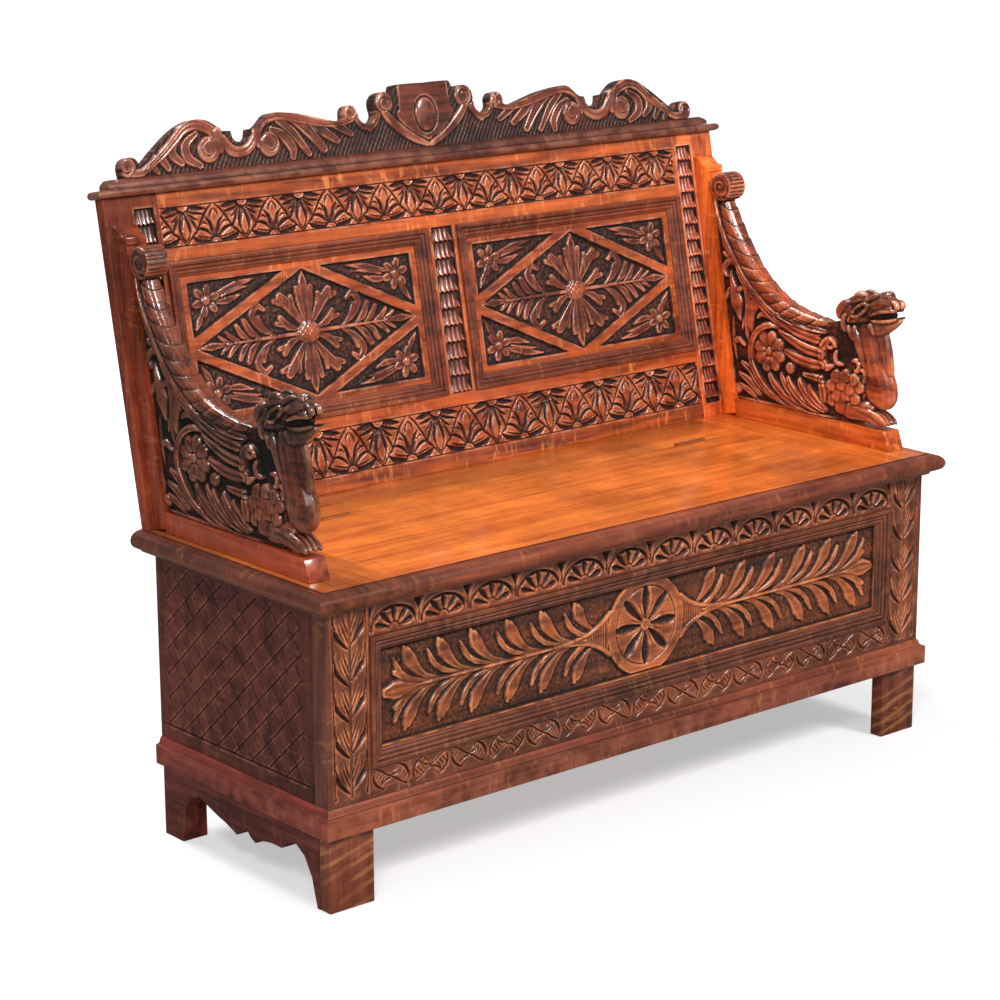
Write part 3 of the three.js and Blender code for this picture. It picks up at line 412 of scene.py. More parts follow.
def addNode(tree, kind, inputs=None, **settings):
    made = tree.nodes.new(kind)
    for key, value in settings.items():
        setattr(made, key, value)
    for key, value in (inputs or {}).items():
        if isinstance(value, bpy.types.NodeSocket):
            tree.links.new(value, made.inputs[key])
        else:
            made.inputs[key].default_value = value
    return made


def mixTone(tree, share, a, b, blend="MIX"):
    made = addNode(tree, "ShaderNodeMix", {0: share, 6: a, 7: b}, data_type="RGBA", blend_type=blend)
    return made.outputs[2]


def sums(tree, operation, *values):
    made = addNode(tree, "ShaderNodeMath", dict(enumerate(values)), operation=operation)
    return made.outputs[0]


def ranged(tree, value, low, high, toLow=0.0, toHigh=1.0):
    made = addNode(
        tree, "ShaderNodeMapRange", {0: value, 1: low, 2: high, 3: toLow, 4: toHigh},
        interpolation_type="SMOOTHSTEP"
    )
    return made.outputs[0]


def newGroup(name, inputs, outputs):
    group = bpy.data.node_groups.new(name, "ShaderNodeTree")
    for socket, kind in inputs:
        group.interface.new_socket(name=socket, in_out="INPUT", socket_type=kind)
    for socket, kind in outputs:
        group.interface.new_socket(name=socket, in_out="OUTPUT", socket_type=kind)
    return group, group.nodes.new("NodeGroupInput"), group.nodes.new("NodeGroupOutput")


def makeOakFigure():
    # long streaks, dark pores, silvery ray flecks and slanting stripes, with the grain along X
    group, given, result = newGroup(
        "oak figure",
        [
            ("Vector", "NodeSocketVector"), ("Pale", "NodeSocketColor"), ("Deep", "NodeSocketColor"),
            ("Flecks", "NodeSocketFloat"), ("Stripes", "NodeSocketFloat"),
            ("Stripe Scale", "NodeSocketFloat"),
        ],
        [("Color", "NodeSocketColor"), ("Fleck", "NodeSocketFloat"), ("Height", "NodeSocketFloat")],
    )
    vector = given.outputs["Vector"]
    long = addNode(group, "ShaderNodeMapping", {"Vector": vector, "Scale": (0.07, 1, 1)}).outputs[0]
    streak = addNode(
        group, "ShaderNodeTexNoise", {"Vector": long, "Scale": 120, "Detail": 7, "Roughness": 0.62}
    ).outputs[0]
    broad = addNode(
        group, "ShaderNodeTexNoise", {"Vector": long, "Scale": 26, "Detail": 3, "Distortion": 0.8}
    ).outputs[0]
    fine = addNode(group, "ShaderNodeMapping", {"Vector": vector, "Scale": (0.05, 1, 1)}).outputs[0]
    pores = addNode(group, "ShaderNodeTexNoise", {"Vector": fine, "Scale": 900, "Detail": 2}).outputs[0]
    poreMask = ranged(group, pores, 0.6, 0.72)
    crossed = addNode(group, "ShaderNodeMapping", {"Vector": vector, "Scale": (1, 0.24, 0.24)}).outputs[0]
    flake = addNode(
        group, "ShaderNodeTexNoise", {
            "Vector": crossed, "Scale": 125, "Detail": 3, "Roughness": 0.45, "Distortion": 0.7
        }
    ).outputs[0]
    patch = addNode(group, "ShaderNodeTexNoise", {"Vector": vector, "Scale": 16, "Detail": 2}).outputs[0]
    fleck = sums(group, "MULTIPLY", ranged(group, flake, 0.52, 0.68), ranged(group, patch, 0.4, 0.62))
    fleck = sums(group, "MULTIPLY", fleck, given.outputs["Flecks"])
    slant = addNode(group, "ShaderNodeMapping", {"Vector": vector, "Scale": (1, 0.55, 0.3)}).outputs[0]
    wave = {
        "Vector": slant, "Scale": given.outputs["Stripe Scale"], "Distortion": 2.2, "Detail": 3,
        "Detail Scale": 1.2
    }
    band = addNode(group, "ShaderNodeTexWave", wave, bands_direction="DIAGONAL").outputs["Fac"]
    stripe = sums(group, "MULTIPLY", ranged(group, band, 0.5, 1.0), ranged(group, patch, 0.25, 0.55))
    stripe = sums(group, "MULTIPLY", stripe, given.outputs["Stripes"])
    fleck = sums(group, "MAXIMUM", fleck, stripe)
    blend = sums(
        group, "ADD", ranged(group, streak, 0.34, 0.66, 0, 0.5), ranged(group, broad, 0.38, 0.62, 0, 0.5)
    )
    base = mixTone(group, blend, given.outputs["Deep"], given.outputs["Pale"])
    base = mixTone(group, fleck, base, mixTone(group, 0.3, given.outputs["Pale"], (1, 0.5, 0.16, 1)))
    base = mixTone(
        group, sums(group, "MULTIPLY", poreMask, 0.45), base,
        mixTone(group, 0.72, given.outputs["Deep"], (0, 0, 0, 1))
    )
    height = sums(
        group, "SUBTRACT", sums(group, "MULTIPLY", streak, 0.6), sums(group, "MULTIPLY", poreMask, 0.5)
    )
    group.links.new(base, result.inputs["Color"])
    group.links.new(fleck, result.inputs["Fleck"])
    group.links.new(height, result.inputs["Height"])
    return group


def makeHandlingAndPaintedLight():
    # dark wax and painted shade in the hollows, rubbed wear and a painted highlight on high places, and a
    # cloudy old polish
    group, given, result = newGroup(
        "handlingAndPaintedLight",
        [
            ("Color", "NodeSocketColor"), ("Vector", "NodeSocketVector"), ("Recess", "NodeSocketFloat"),
            ("Wear And Highlight", "NodeSocketFloat"), ("Soot And Shade", "NodeSocketColor"), ("Rubbed And Highlight", "NodeSocketColor"),
        ],
        [
            ("Color", "NodeSocketColor"), ("Roughness", "NodeSocketFloat"), ("Height", "NodeSocketFloat"),
            ("Polish", "NodeSocketFloat"),
        ],
    )
    vector = given.outputs["Vector"]
    cloud = addNode(
        group, "ShaderNodeTexNoise", {"Vector": vector, "Scale": 7, "Detail": 4, "Roughness": 0.6}
    ).outputs[0]
    speck = addNode(group, "ShaderNodeTexNoise", {"Vector": vector, "Scale": 160, "Detail": 3}).outputs[0]
    cloudy = ranged(group, cloud, 0.3, 0.7, 0.66, 1.16)
    grey = addNode(group, "ShaderNodeCombineColor", {0: cloudy, 1: cloudy, 2: cloudy}).outputs[0]
    colour = mixTone(group, 1.0, given.outputs["Color"], grey, "MULTIPLY")
    # darker in the hollows: dark wax and painted shade
    dirtAndShade = sums(group, "MULTIPLY", given.outputs["Recess"], ranged(group, speck, 0.2, 0.6, 0.78, 1.15))
    dirtAndShade = sums(group, "MINIMUM", dirtAndShade, 0.97)
    # lighter on high places in patches: rubbed wear and a painted highlight
    rubPatches = addNode(group, "ShaderNodeTexNoise", {"Vector": vector, "Scale": 38, "Detail": 2}).outputs[0]
    rubAndHighlight = sums(group, "MULTIPLY", given.outputs["Wear And Highlight"], ranged(group, rubPatches, 0.38, 0.62, 0.12, 0.9))
    colour = mixTone(group, rubAndHighlight, colour, given.outputs["Rubbed And Highlight"])
    colour = mixTone(group, dirtAndShade, colour, given.outputs["Soot And Shade"])
    rough = sums(group, "ADD", ranged(group, cloud, 0.3, 0.7, 0, 0.1), sums(group, "MULTIPLY", dirtAndShade, 0.45))
    group.links.new(colour, result.inputs["Color"])
    group.links.new(rough, result.inputs["Roughness"])
    group.links.new(sums(group, "MULTIPLY", speck, 0.5), result.inputs["Height"])
    group.links.new(ranged(group, given.outputs["Recess"], 0.1, 0.5, 1, 0), result.inputs["Polish"])
    return group


oakFigure = makeOakFigure()
handlingAndPaintedLight = makeHandlingAndPaintedLight()

# soot colours stand for dark wax and painted shade in hollows; rubbed colours stand for wear and a painted
# highlight on high places
finishes = {
    "seat": {
        "flat": ((248, 134, 51), (192, 90, 34)), "carved": ((150, 72, 44), (84, 38, 28)),
        "sootAndShade": (34, 15, 10), "rubbedAndHighlight": (226, 132, 86), "roughness": 0.2, "coat": 0.5, "flecks": 0.25,
    },
    "back": {
        "flat": ((222, 104, 42), (100, 38, 19)), "carved": ((160, 66, 36), (68, 26, 19)),
        "sootAndShade": (6, 4, 5), "rubbedAndHighlight": (226, 142, 102), "roughness": 0.2, "coat": 1.0, "flecks": 0.8,
    },
    "panel": {
        "flat": ((222, 104, 42), (100, 38, 19)), "carved": ((138, 62, 40), (62, 27, 21)),
        "sootAndShade": (6, 4, 5), "rubbedAndHighlight": (220, 138, 104), "roughness": 0.2, "coat": 1.0, "flecks": 0.7,
    },
    "frame": {
        "flat": ((168, 78, 46), (84, 35, 24)), "carved": ((168, 78, 46), (84, 35, 24)),
        "sootAndShade": (12, 6, 6), "rubbedAndHighlight": (232, 154, 118), "roughness": 0.2, "coat": 0.9, "flecks": 0.4,
    },
    "front": {
        "flat": ((124, 62, 42), (68, 34, 26)), "carved": ((166, 80, 42), (78, 37, 25)),
        "sootAndShade": (14, 9, 9), "rubbedAndHighlight": (214, 130, 84), "roughness": 0.26, "coat": 0.6, "flecks": 0.35,
    },
    "wheel": {
        "flat": ((104, 56, 40), (62, 34, 27)), "carved": ((194, 98, 48), (88, 42, 27)),
        "sootAndShade": (22, 14, 14), "rubbedAndHighlight": (232, 144, 92), "roughness": 0.24, "coat": 0.6, "flecks": 0.3,
    },
    "crest": {
        "flat": ((124, 58, 41), (66, 29, 23)), "carved": ((152, 68, 42), (54, 23, 19)),
        "sootAndShade": (9, 6, 8), "rubbedAndHighlight": (222, 148, 114), "roughness": 0.2, "coat": 1.0, "flecks": 0.25,
    },
    "dark": {
        "flat": ((100, 43, 35), (54, 21, 19)), "carved": ((92, 39, 32), (48, 18, 17)),
        "sootAndShade": (12, 6, 6), "rubbedAndHighlight": (160, 90, 70), "roughness": 0.26, "coat": 0.3, "flecks": 0.15,
        "level": 0.25,
    },
    "plinth": {
        "flat": ((156, 76, 48), (84, 38, 27)), "carved": ((150, 72, 46), (80, 35, 25)),
        "sootAndShade": (16, 9, 8), "rubbedAndHighlight": (210, 126, 92), "roughness": 0.22, "coat": 0.6, "flecks": 0.45,
    },
    # the brighter copy, used on the right-hand post and arm: painted light
    "post": {
        "flat": ((248, 122, 44), (150, 56, 22)), "carved": ((190, 84, 34), (104, 40, 18)),
        "sootAndShade": (14, 7, 6), "rubbedAndHighlight": (240, 140, 70), "roughness": 0.2, "coat": 0.7, "flecks": 0.8,
    },
    # the darker copy, used on the left-hand stile, post and arm: painted shade
    "shaded": {
        "flat": ((172, 72, 40), (96, 36, 24)), "carved": ((150, 64, 38), (84, 32, 22)),
        "sootAndShade": (12, 6, 6), "rubbedAndHighlight": (206, 118, 74), "roughness": 0.2, "coat": 0.8, "flecks": 0.4,
    },
    "beast": {
        "flat": ((104, 52, 38), (44, 22, 19)), "carved": ((196, 84, 44), (58, 24, 18)),
        "sootAndShade": (6, 4, 5), "rubbedAndHighlight": (238, 152, 110), "roughness": 0.15, "coat": 1.0, "flecks": 0.15,
    },
    "plain": {
        "flat": ((160, 100, 60), (104, 60, 36)), "carved": ((160, 100, 60), (104, 60, 36)),
        "sootAndShade": (50, 34, 22), "rubbedAndHighlight": (170, 124, 82), "roughness": 0.6, "coat": 0.0, "flecks": 0.4,
    },
}
turns = {"x": (0, 0, 0), "y": (0, 0, math.pi / 2), "z": (0, math.pi / 2, 0)}


def oak(name, finish, along="x", seed=0, shade=1.0, stripes=0.0, stripeScale=50):
    look = finishes[finish]
    material = bpy.data.materials.new(name)
    material.use_nodes = True
    tree = material.node_tree
    shader = tree.nodes["Principled BSDF"]
    place = addNode(tree, "ShaderNodeTexCoord").outputs["Object"]
    shift = (0.37 * seed, 0.113 * seed, 0.071 * seed)
    turned = addNode(
        tree, "ShaderNodeMapping", {"Vector": place, "Location": shift, "Rotation": turns[along]}
    ).outputs[0]
    recess, wearAndHighlight, worked = [
        addNode(tree, "ShaderNodeAttribute", attribute_name=kind).outputs["Fac"]
        for kind in ("recess", "wearAndHighlight", "worked")
    ]
    flat = [tone(*[c * shade for c in colour]) for colour in look["flat"]]
    carved = [tone(*[c * shade for c in colour]) for colour in look["carved"]]
    figure = addNode(tree, "ShaderNodeGroup", node_tree=oakFigure)
    pairs = {
        "Vector": turned, "Pale": mixTone(tree, worked, flat[0], carved[0]),
        "Deep": mixTone(tree, worked, flat[1], carved[1]),
    }
    for key, value in pairs.items():
        tree.links.new(value, figure.inputs[key])
    figure.inputs["Flecks"].default_value = look["flecks"]
    figure.inputs["Stripes"].default_value = stripes
    figure.inputs["Stripe Scale"].default_value = stripeScale
    aged = addNode(tree, "ShaderNodeGroup", node_tree=handlingAndPaintedLight)
    for key, value in (
        ("Color", figure.outputs["Color"]), ("Vector", turned), ("Recess", recess), ("Wear And Highlight", wearAndHighlight)
    ):
        tree.links.new(value, aged.inputs[key])
    # soot and rubbed colours: dark wax with painted shade, wear with a painted highlight
    aged.inputs["Soot And Shade"].default_value = tone(*[c * shade for c in look["sootAndShade"]])
    aged.inputs["Rubbed And Highlight"].default_value = tone(*[c * shade for c in look["rubbedAndHighlight"]])
    height = sums(tree, "ADD", figure.outputs["Height"], aged.outputs["Height"])
    bump = addNode(tree, "ShaderNodeBump", {"Height": height, "Strength": 0.3, "Distance": 0.0007})
    rough = sums(tree, "ADD", aged.outputs["Roughness"], look["roughness"])
    tree.links.new(aged.outputs["Color"], shader.inputs["Base Color"])
    tree.links.new(rough, shader.inputs["Roughness"])
    tree.links.new(bump.outputs[0], shader.inputs["Normal"])
    tree.links.new(
        sums(tree, "MULTIPLY", aged.outputs["Polish"], look["coat"]), shader.inputs["Coat Weight"]
    )
    shader.inputs["Coat Roughness"].default_value = 0.16
    shader.inputs["Specular IOR Level"].default_value = look.get("level", 0.4)
    return material


print("finishes made")


# Chest front


def lunettes(relief, start, pitch, count, base, height):
    u, v, h = relief["u"], relief["v"], relief["h"]
    for k in range(count):
        x = start + pitch * (k + 0.5)
        for angle, near, far in (
            (90, 9, 0.9), (52, 9, 0.9), (128, 9, 0.9), (18, 11, 0.84), (162, 11, 0.84)
        ):
            turn = math.radians(angle)
            out = np.array([math.cos(turn) * pitch * 0.42, math.sin(turn) * (height - 4)])
            root = np.array([math.cos(turn), math.sin(turn)]) * near
            spots = [
                (x + root[0], base + root[1]), (x + out[0] * 0.6, base + out[1] * 0.6),
                (x + out[0] * far, base + out[1] * far)
            ]
            gouge(relief, spots, [1.4, 4, 5.6, 4.6], 5, -0.4)
        arc = np.radians(np.linspace(-2, 182, 24))
        inner = np.stack([x + pitch * 0.45 * np.cos(arc), base + 1 + (height - 6.4) * np.sin(arc)], 1)
        outer = np.stack([x + pitch * 0.54 * np.cos(arc), base - 1 + height * np.sin(arc)], 1)
        gouge(relief, inner, [2.6, 4, 4, 2.6], 5, straight=True)
        raiseStroke(relief, outer, [2.8, 3.6, 2.8], 0, -3.4, 0.7, straight=True)
        near = np.hypot(u - x, v - base)
        h[(near < 10) & (near > 7.8) & (v > base)] = -3.4
    for k in range(count + 1):
        x = start + pitch * k
        gouge(relief, [(x, base + 1), (x, base + 9), (x, base + 17)], [0.8, 3, 1.2], 4.8)
        gouge(relief, [(x, base + height * 0.5), (x, base + height + 4)], [1, 7, 13], 5.4)
    h[v < base] = 0


topFrieze = {
    "half": 525, "low": 386, "high": 431, "count": 12, "base": 391, "height": 37, "step": 1.15,
    "thickness": 29
}
half, pitch = topFrieze["half"], 2 * topFrieze["half"] / topFrieze["count"]
relief = boardRelief(-half, half, topFrieze["low"], topFrieze["high"], topFrieze["step"])
lunettes(relief, -half, pitch, topFrieze["count"], topFrieze["base"], topFrieze["height"])
punchGround(relief, -3, 0.5, 1)
frontRail = oak("carved oak rail", "front", "x", 1)
carvedBoard(
    "lunette_rail", frontFace, relief, topFrieze["thickness"], [
        "chest_front_top_rail"
    ], frontRail, rubAndHighlight=0.6
)

bottomFrieze = {
    "half": 525, "low": 153, "high": 197, "count": 15, "middle": 177, "step": 1.15, "thickness": 29
}
half, pitch = bottomFrieze["half"], 2 * bottomFrieze["half"] / bottomFrieze["count"]
relief = boardRelief(-half, half, bottomFrieze["low"], bottomFrieze["high"], bottomFrieze["step"])
scrollCuts = (
    (((0, 0), (9, 5), (17, 11), (27, 16)), [1.5, 1.2, 1.6, 1.2], 2.8),
    (((14, -16), (25, -9), (31, 2), (29, 12)), [1.2, 2.8, 2.2, 1], 3.2),
    (((1, -2), (9, -3), (17, -8), (20, -13)), [1.4, 2, 1.6, 0.8], 2.6),
)
for k in range(bottomFrieze["count"]):
    x = -half + pitch * (k + 0.5)
    z = bottomFrieze["middle"]
    hand = 1 if k % 2 else -1
    for side in (-1, 1):
        # an S through the middle, a bracket round each end and short leafy cuts between them
        a, b = side, side * hand
        for cut, widths, depth in scrollCuts:
            gouge(relief, [(x + a * px, z + b * pz) for px, pz in cut], widths, depth)
        for px, pz in ((10, 3), (15, 6), (20, 9)):
            curl = [
                (x + a * px, z + b * pz), (x + a * (px + 5), z + b * (pz - 5)),
                (x + a * (px + 8), z + b * (pz - 9))
            ]
            gouge(relief, curl, [0.7, 1.9, 0.7], 2.2)
        gouge(
            relief, [(x + a * 4, z - b * 8), (x + a * 9, z - b * 11), (x + a * 12, z - b * 15)],
            [0.7, 1.6, 0.7], 2
        )
carvedBoard(
    "scroll_rail", frontFace, relief, bottomFrieze["thickness"], [
        "chest_front_bottom_rail"
    ], frontRail, 2.4, rubAndHighlight=0.4
)


def leafStile(name, side, pitch, nodes, seed):
    stile = {"inner": 525, "outer": 600, "stem": 559, "low": 153, "high": 431, "reach": 25, "thickness": 30}
    low, high = sorted((side * stile["inner"], side * stile["outer"]))
    relief = boardRelief(low, high, stile["low"], stile["high"], 1.2)
    u, v, h = relief["u"], relief["v"], relief["h"]
    stem = side * stile["stem"]
    for k in range(-1, int((stile["high"] - stile["low"]) / pitch) + 1):
        z = 168 + pitch * k
        for hand in (-1, 1):
            start = z + (pitch * 0.12 if hand > 0 else 0)
            cuts = (
                ([(3, 0), (12, 9), (21, 20), (25, 29)], [1.2, 4, 5.5, 1.5], 5),
                ([(2, 9), (8, 22), (14, 37)], [1, 1.8, 0.6], 3.4),
                ([(2, 20), (7, 33), (12, 47)], [1, 1.8, 0.6], 3.4),
                ([(8, 12), (15, 23), (20, 37)], [0.7, 1.5, 0.5], 2.8),
                ([(24, 30), (27, 40), (26, 50)], [1.8, 1.4, 0.8], 3.6),
            )
            for points, widths, depth in cuts:
                spots = [(stem + hand * a, start + b * pitch / 50) for a, b in points]
                gouge(relief, spots, widths, depth)
    gouge(relief, [(stem, stile["low"]), (stem, stile["high"])], [2.6], 4, straight=True)
    raiseStroke(relief, [(stem, stile["low"]), (stem, stile["high"])], [1.1], -0.6, -4, straight=True)
    for hand in (-1, 1):
        edge = stem + hand * (stile["reach"] + 3.5)
        gouge(relief, [(edge, 164), (edge, stile["high"])], [1.1], 2.4, straight=True)
    h[v < 162] = 0
    h *= 1 + 0.1 * blurred(np.random.default_rng(seed).normal(0, 1, h.shape), 6)
    stileOak = oak(name + " oak", "front", "z", seed)
    return carvedBoard(name, frontFace, relief, stile["thickness"], nodes, stileOak, rubAndHighlight=0.75)


leafStile("leaf_stile_left", -1, 52, ["chest_front_stile_left"], 3)
leafStile("leaf_stile_right", 1, 53, ["chest_front_stile_right"], 4)

wheelPanel = {
    "half": 524, "low": 198, "high": 385, "ringOuter": 77, "ringInner": 61, "middle": 296, "step": 1.45,
    "inset": 8, "thickness": 10.5
}
half = wheelPanel["half"]
relief = boardRelief(-half, half, wheelPanel["low"], wheelPanel["high"], wheelPanel["step"])
u, v, h = relief["u"], relief["v"], relief["h"]
middle = wheelPanel["middle"]
h[(np.abs(u) < 501) & (v > 222) & (v < 362)] = -5
for side in (-1, 1):
    for flip in (-1, 1):
        for k, tip in enumerate((142, 207, 271, 338, 397, 458)):
            top = 0 if k else -0.3
            leaves = (
                (
                    [(tip - 68, 1), (tip - 40, 10), (tip - 22, 25), (tip - 11, 40), (tip - 5, 51)],
                    [1.4, 4, 8.5, 12.5, 9], 1.6
                ),
                ([(tip - 12, 38), (tip - 3, 52), (tip, 61)], [5, 6, 2], 0.8),
                ([(tip - 32, 2), (tip - 4, 14), (tip + 10, 30), (tip + 18, 46)], [1.2, 2.6, 5.2, 2.2], 1.2),
                ([(tip - 56, 1), (tip - 28, 6), (tip - 8, 13), (tip + 2, 24)], [1.2, 2.8, 4.8, 1.6], 1.0),
            )
            for points, widths, vein in leaves:
                spots = [(side * x, middle + flip * z) for x, z in points if 74 < x < 492]
                raiseStroke(relief, spots, widths, [-2.6, -1, top], -4.4, vein, 0.9)
        raiseStroke(
            relief, [(side * x, middle + flip * z) for x, z in ((434, 3), (456, 15), (474, 26))],
            [2, 6, 4.5], [-2, 0], -4, 0.8, 0.8
        )
        raiseStroke(
            relief, [(side * x, middle + flip * z) for x, z in ((72, 32), (92, 17), (122, 6), (165, 1))],
            [4, 4, 3, 1.6], 0, -3.4
        )
    raiseStroke(relief, [(side * 120, middle), (side * 486, middle)], [2.6, 2.2, 1.6], 0, -3, straight=True)
    raiseStroke(
        relief, [(side * 436, middle), (side * 464, middle), (side * 489, middle)], [3, 8, 15, 15, 9], 0.2,
        -4, 0.9, 1.4
    )
    net = (np.abs(u * side - 96) < 20) & (np.abs(v - middle) < (124 - u * side) * 0.5)
    h[net] = np.maximum(h[net], -2.2 + 0.9 * np.cos(u[net] * 1.3))
reach = np.hypot(u, v - middle)
ring = (reach > wheelPanel["ringInner"]) & (reach < wheelPanel["ringOuter"]) & (v > 226) & (v < 363)
h[ring] = -0.62
disc = reach <= wheelPanel["ringInner"]
h[disc] = -0.66
wheelCuts = ((7, 57, [2.2, 4.4, 6.6, 8.4, 8.8, 5.4], 6.4), (10, 34, [1.8, 1.6, 0.6], 2.6))
for k in range(16):
    c, s = math.cos(k * math.pi / 8), math.sin(k * math.pi / 8)
    start, end, widths, depth = wheelCuts[k % 2]
    gouge(relief, [(start * c, middle + start * s), (end * c, middle + end * s)], widths, depth, -0.6)
hub = reach < 9
h[hub] = (-1.4 + 1.2 * np.maximum(np.cos((u + v) * 1.6), np.cos((u - v) * 1.6)))[hub]
for r, half in ((60, 1.5), (9.6, 1)):
    gouge(
        relief, [(r * math.cos(a), middle + r * math.sin(a)) for a in np.linspace(0, 2 * math.pi, 60)],
        [half], 3, straight=True
    )
punchGround(relief, -3.6, 0.5, 5)
wheelFace = dict(frontFace, origin=(0, frontY + wheelPanel["inset"], 0))
wheelOak = oak("wheel panel oak", "wheel", "x", 5)
carvedBoard(
    "wheel_panel", wheelFace, relief, wheelPanel["thickness"], ["chest_front_panel"],
    wheelOak, rubAndHighlight=0.75
)
print("chest front carved")


# Back


upPalmette = (
    ([(9, 3), (22, 4), (36, 8), (44, 14)], [3, 5.5, 4.5, 1], 5),
    ([(8, 9), (20, 11), (33, 15)], [0.9, 1.8, 0.6], 3.6),
    ([(7, 13), (15, 22), (25, 27), (33, 27)], [1.6, 3.2, 2.6, 0.7], 4.8),
    ([(3, 13), (6, 25), (9, 37), (17, 47)], [2.6, 4.4, 3.6, 0.8], 5),
    ([(8, 46), (6, 55), (1, 62)], [1, 2, 0.8], 3.8),
    ([(13, 33), (19, 38), (24, 36)], [0.9, 1.9, 0.6], 3.4),
    (
        [(3, 69), (11, 62), (20, 50), (28, 36), (34, 25), (43, 17), (56, 2)],
        [0.8, 1.7, 2, 1.9, 1.9, 1.6, 1], 4.8
    ),
)
downPalmette = (
    ([(10, 3), (24, 5), (41, 8)], [4.5, 6.5, 1.2], 5),
    ([(9, 10), (21, 14), (36, 17)], [2, 3.4, 0.8], 4.8),
    ([(6, 12), (16, 22), (25, 27)], [1.6, 2.8, 0.7], 4.4),
    ([(3, 12), (6, 26), (9, 40), (8, 52)], [2.6, 4.2, 3.6, 1], 5),
    ([(10, 20), (17, 32), (22, 44), (20, 52)], [1.3, 3, 2.2, 0.6], 4.6),
    ([(8, 50), (5, 58), (0, 65)], [0.9, 1.8, 1.2], 4),
)


def palmetteBand(relief, low, high, period, half):
    # leaves left standing between gouge cuts that fan out of half-round buttons, up and down by turns
    u, v, h = relief["u"], relief["v"], relief["h"]
    wide, tall = period / 114, (high - low) / 71
    count = int(half / period) + 1
    for k in range(-2 * count, 2 * count + 1):
        x = k * period / 2
        if abs(x) > half + period * 0.3:
            continue
        foot, flip = (high, -1) if k % 2 else (low, 1)
        for points, widths, depth in downPalmette if k % 2 else upPalmette:
            for side in (-1, 1):
                spots = [(x + side * a * wide, foot + flip * b * tall) for a, b in points]
                gouge(relief, spots, widths, depth, -0.3)
        gouge(relief, [(x, foot + flip * 11 * tall), (x, foot + flip * 24 * tall)], [4.5, 3, 0.8], 5, -0.3)
        near = np.hypot((u - x) / wide, (v - foot) / tall)
        h[(near < 13) & (near > 10)] = -4.4
        h[near <= 10] = -0.2
        h[(near < 6.5) & (near > 5)] = -1.3
        h[near > 10] -= 0.25 * (near[near > 10] < 15)
    outer = ~((v > low) & (v < high) & (np.abs(u) < half))
    h[outer] = 0
    h[~outer & (np.minimum(v - low, high - v) < 1.3)] = -3


def huskStrip(relief, middle, half, low, high, pitch):
    u, v, h = relief["u"], relief["v"], relief["h"]
    place = ((high - v) / pitch) % 1
    across = (u - middle) / half
    flute = 0.5 + 0.5 * np.cos(across * math.pi * 4.4)
    mouth = 0.8 + 0.1 * flute
    within = np.abs(across) < 0.62 + 0.36 * np.sin(np.clip(place / 0.86, 0, 1) * math.pi / 2) ** 2
    bell = -4.2 + 4.3 * place / mouth - 1.5 * (1 - flute) * (1 - 0.4 * place) - 1.2 * across ** 2
    husk = np.where(within & (place < mouth), bell, -5)
    strip = (np.abs(u - middle) < half + 1) & (v > low) & (v < high)
    h[strip] = husk[strip]


backRails = {"half": 514, "step": 1.3, "bottomHigh": 116, "topLow": 379, "topHigh": 480, "thickness": 20}
half = backRails["half"]
relief = boardRelief(-half, half, 0, backRails["bottomHigh"], backRails["step"])
palmetteBand(relief, 25, 96, 115, 511)
punchGround(relief, -3.6, 0.6, 11)
railOak = oak("back rail oak", "back", "x", 11)
carvedBoard(
    "back_rail_bottom", backFace, relief, backRails["thickness"], ["back_bottom_rail"], railOak
)
relief = boardRelief(-half, half, backRails["topLow"], backRails["topHigh"], backRails["step"])
palmetteBand(relief, 399, 457, 105, 512)
punchGround(relief, -3.6, 0.6, 12)
carvedBoard(
    "back_rail_top", backFace, relief, backRails["thickness"], ["back_top_rail"], railOak
)

husks = {
    "muntin": 29, "muntinHalf": 20, "low": 116, "high": 379, "pitch": 26.5, "outer": 606, "inner": 514,
    "strip": 539, "half": 16
}
# the left stile takes the darker shaded finish and the right a brightened back finish: painted shade and
# painted light
stileLitAndShaded = {"left": ("shaded", 0.9), "right": ("back", 1.24)}
relief = boardRelief(-husks["muntin"], husks["muntin"], husks["low"], husks["high"], 1.2)
huskStrip(relief, 0, husks["muntinHalf"], husks["low"], husks["high"], husks["pitch"])
muntinOak = oak("muntin oak", "back", "z", 13)
carvedBoard("husk_muntin", backFace, relief, backRails["thickness"], ["back_muntin"], muntinOak)
for side, name in sides:
    low, high = sorted((side * husks["inner"], side * husks["outer"]))
    relief = boardRelief(low, high, 0, backRails["topHigh"], 1.4, 1.3)
    huskStrip(relief, side * husks["strip"], husks["half"], 23, 460, 27)
    look, shade = stileLitAndShaded[name]
    stileOak = oak(name + " stile oak", look, "z", 14 + side, shade)
    carvedBoard(
        "husk_stile_" + name, backFace, relief, backRails["thickness"], ["back_stile_" + name],
        stileOak
    )


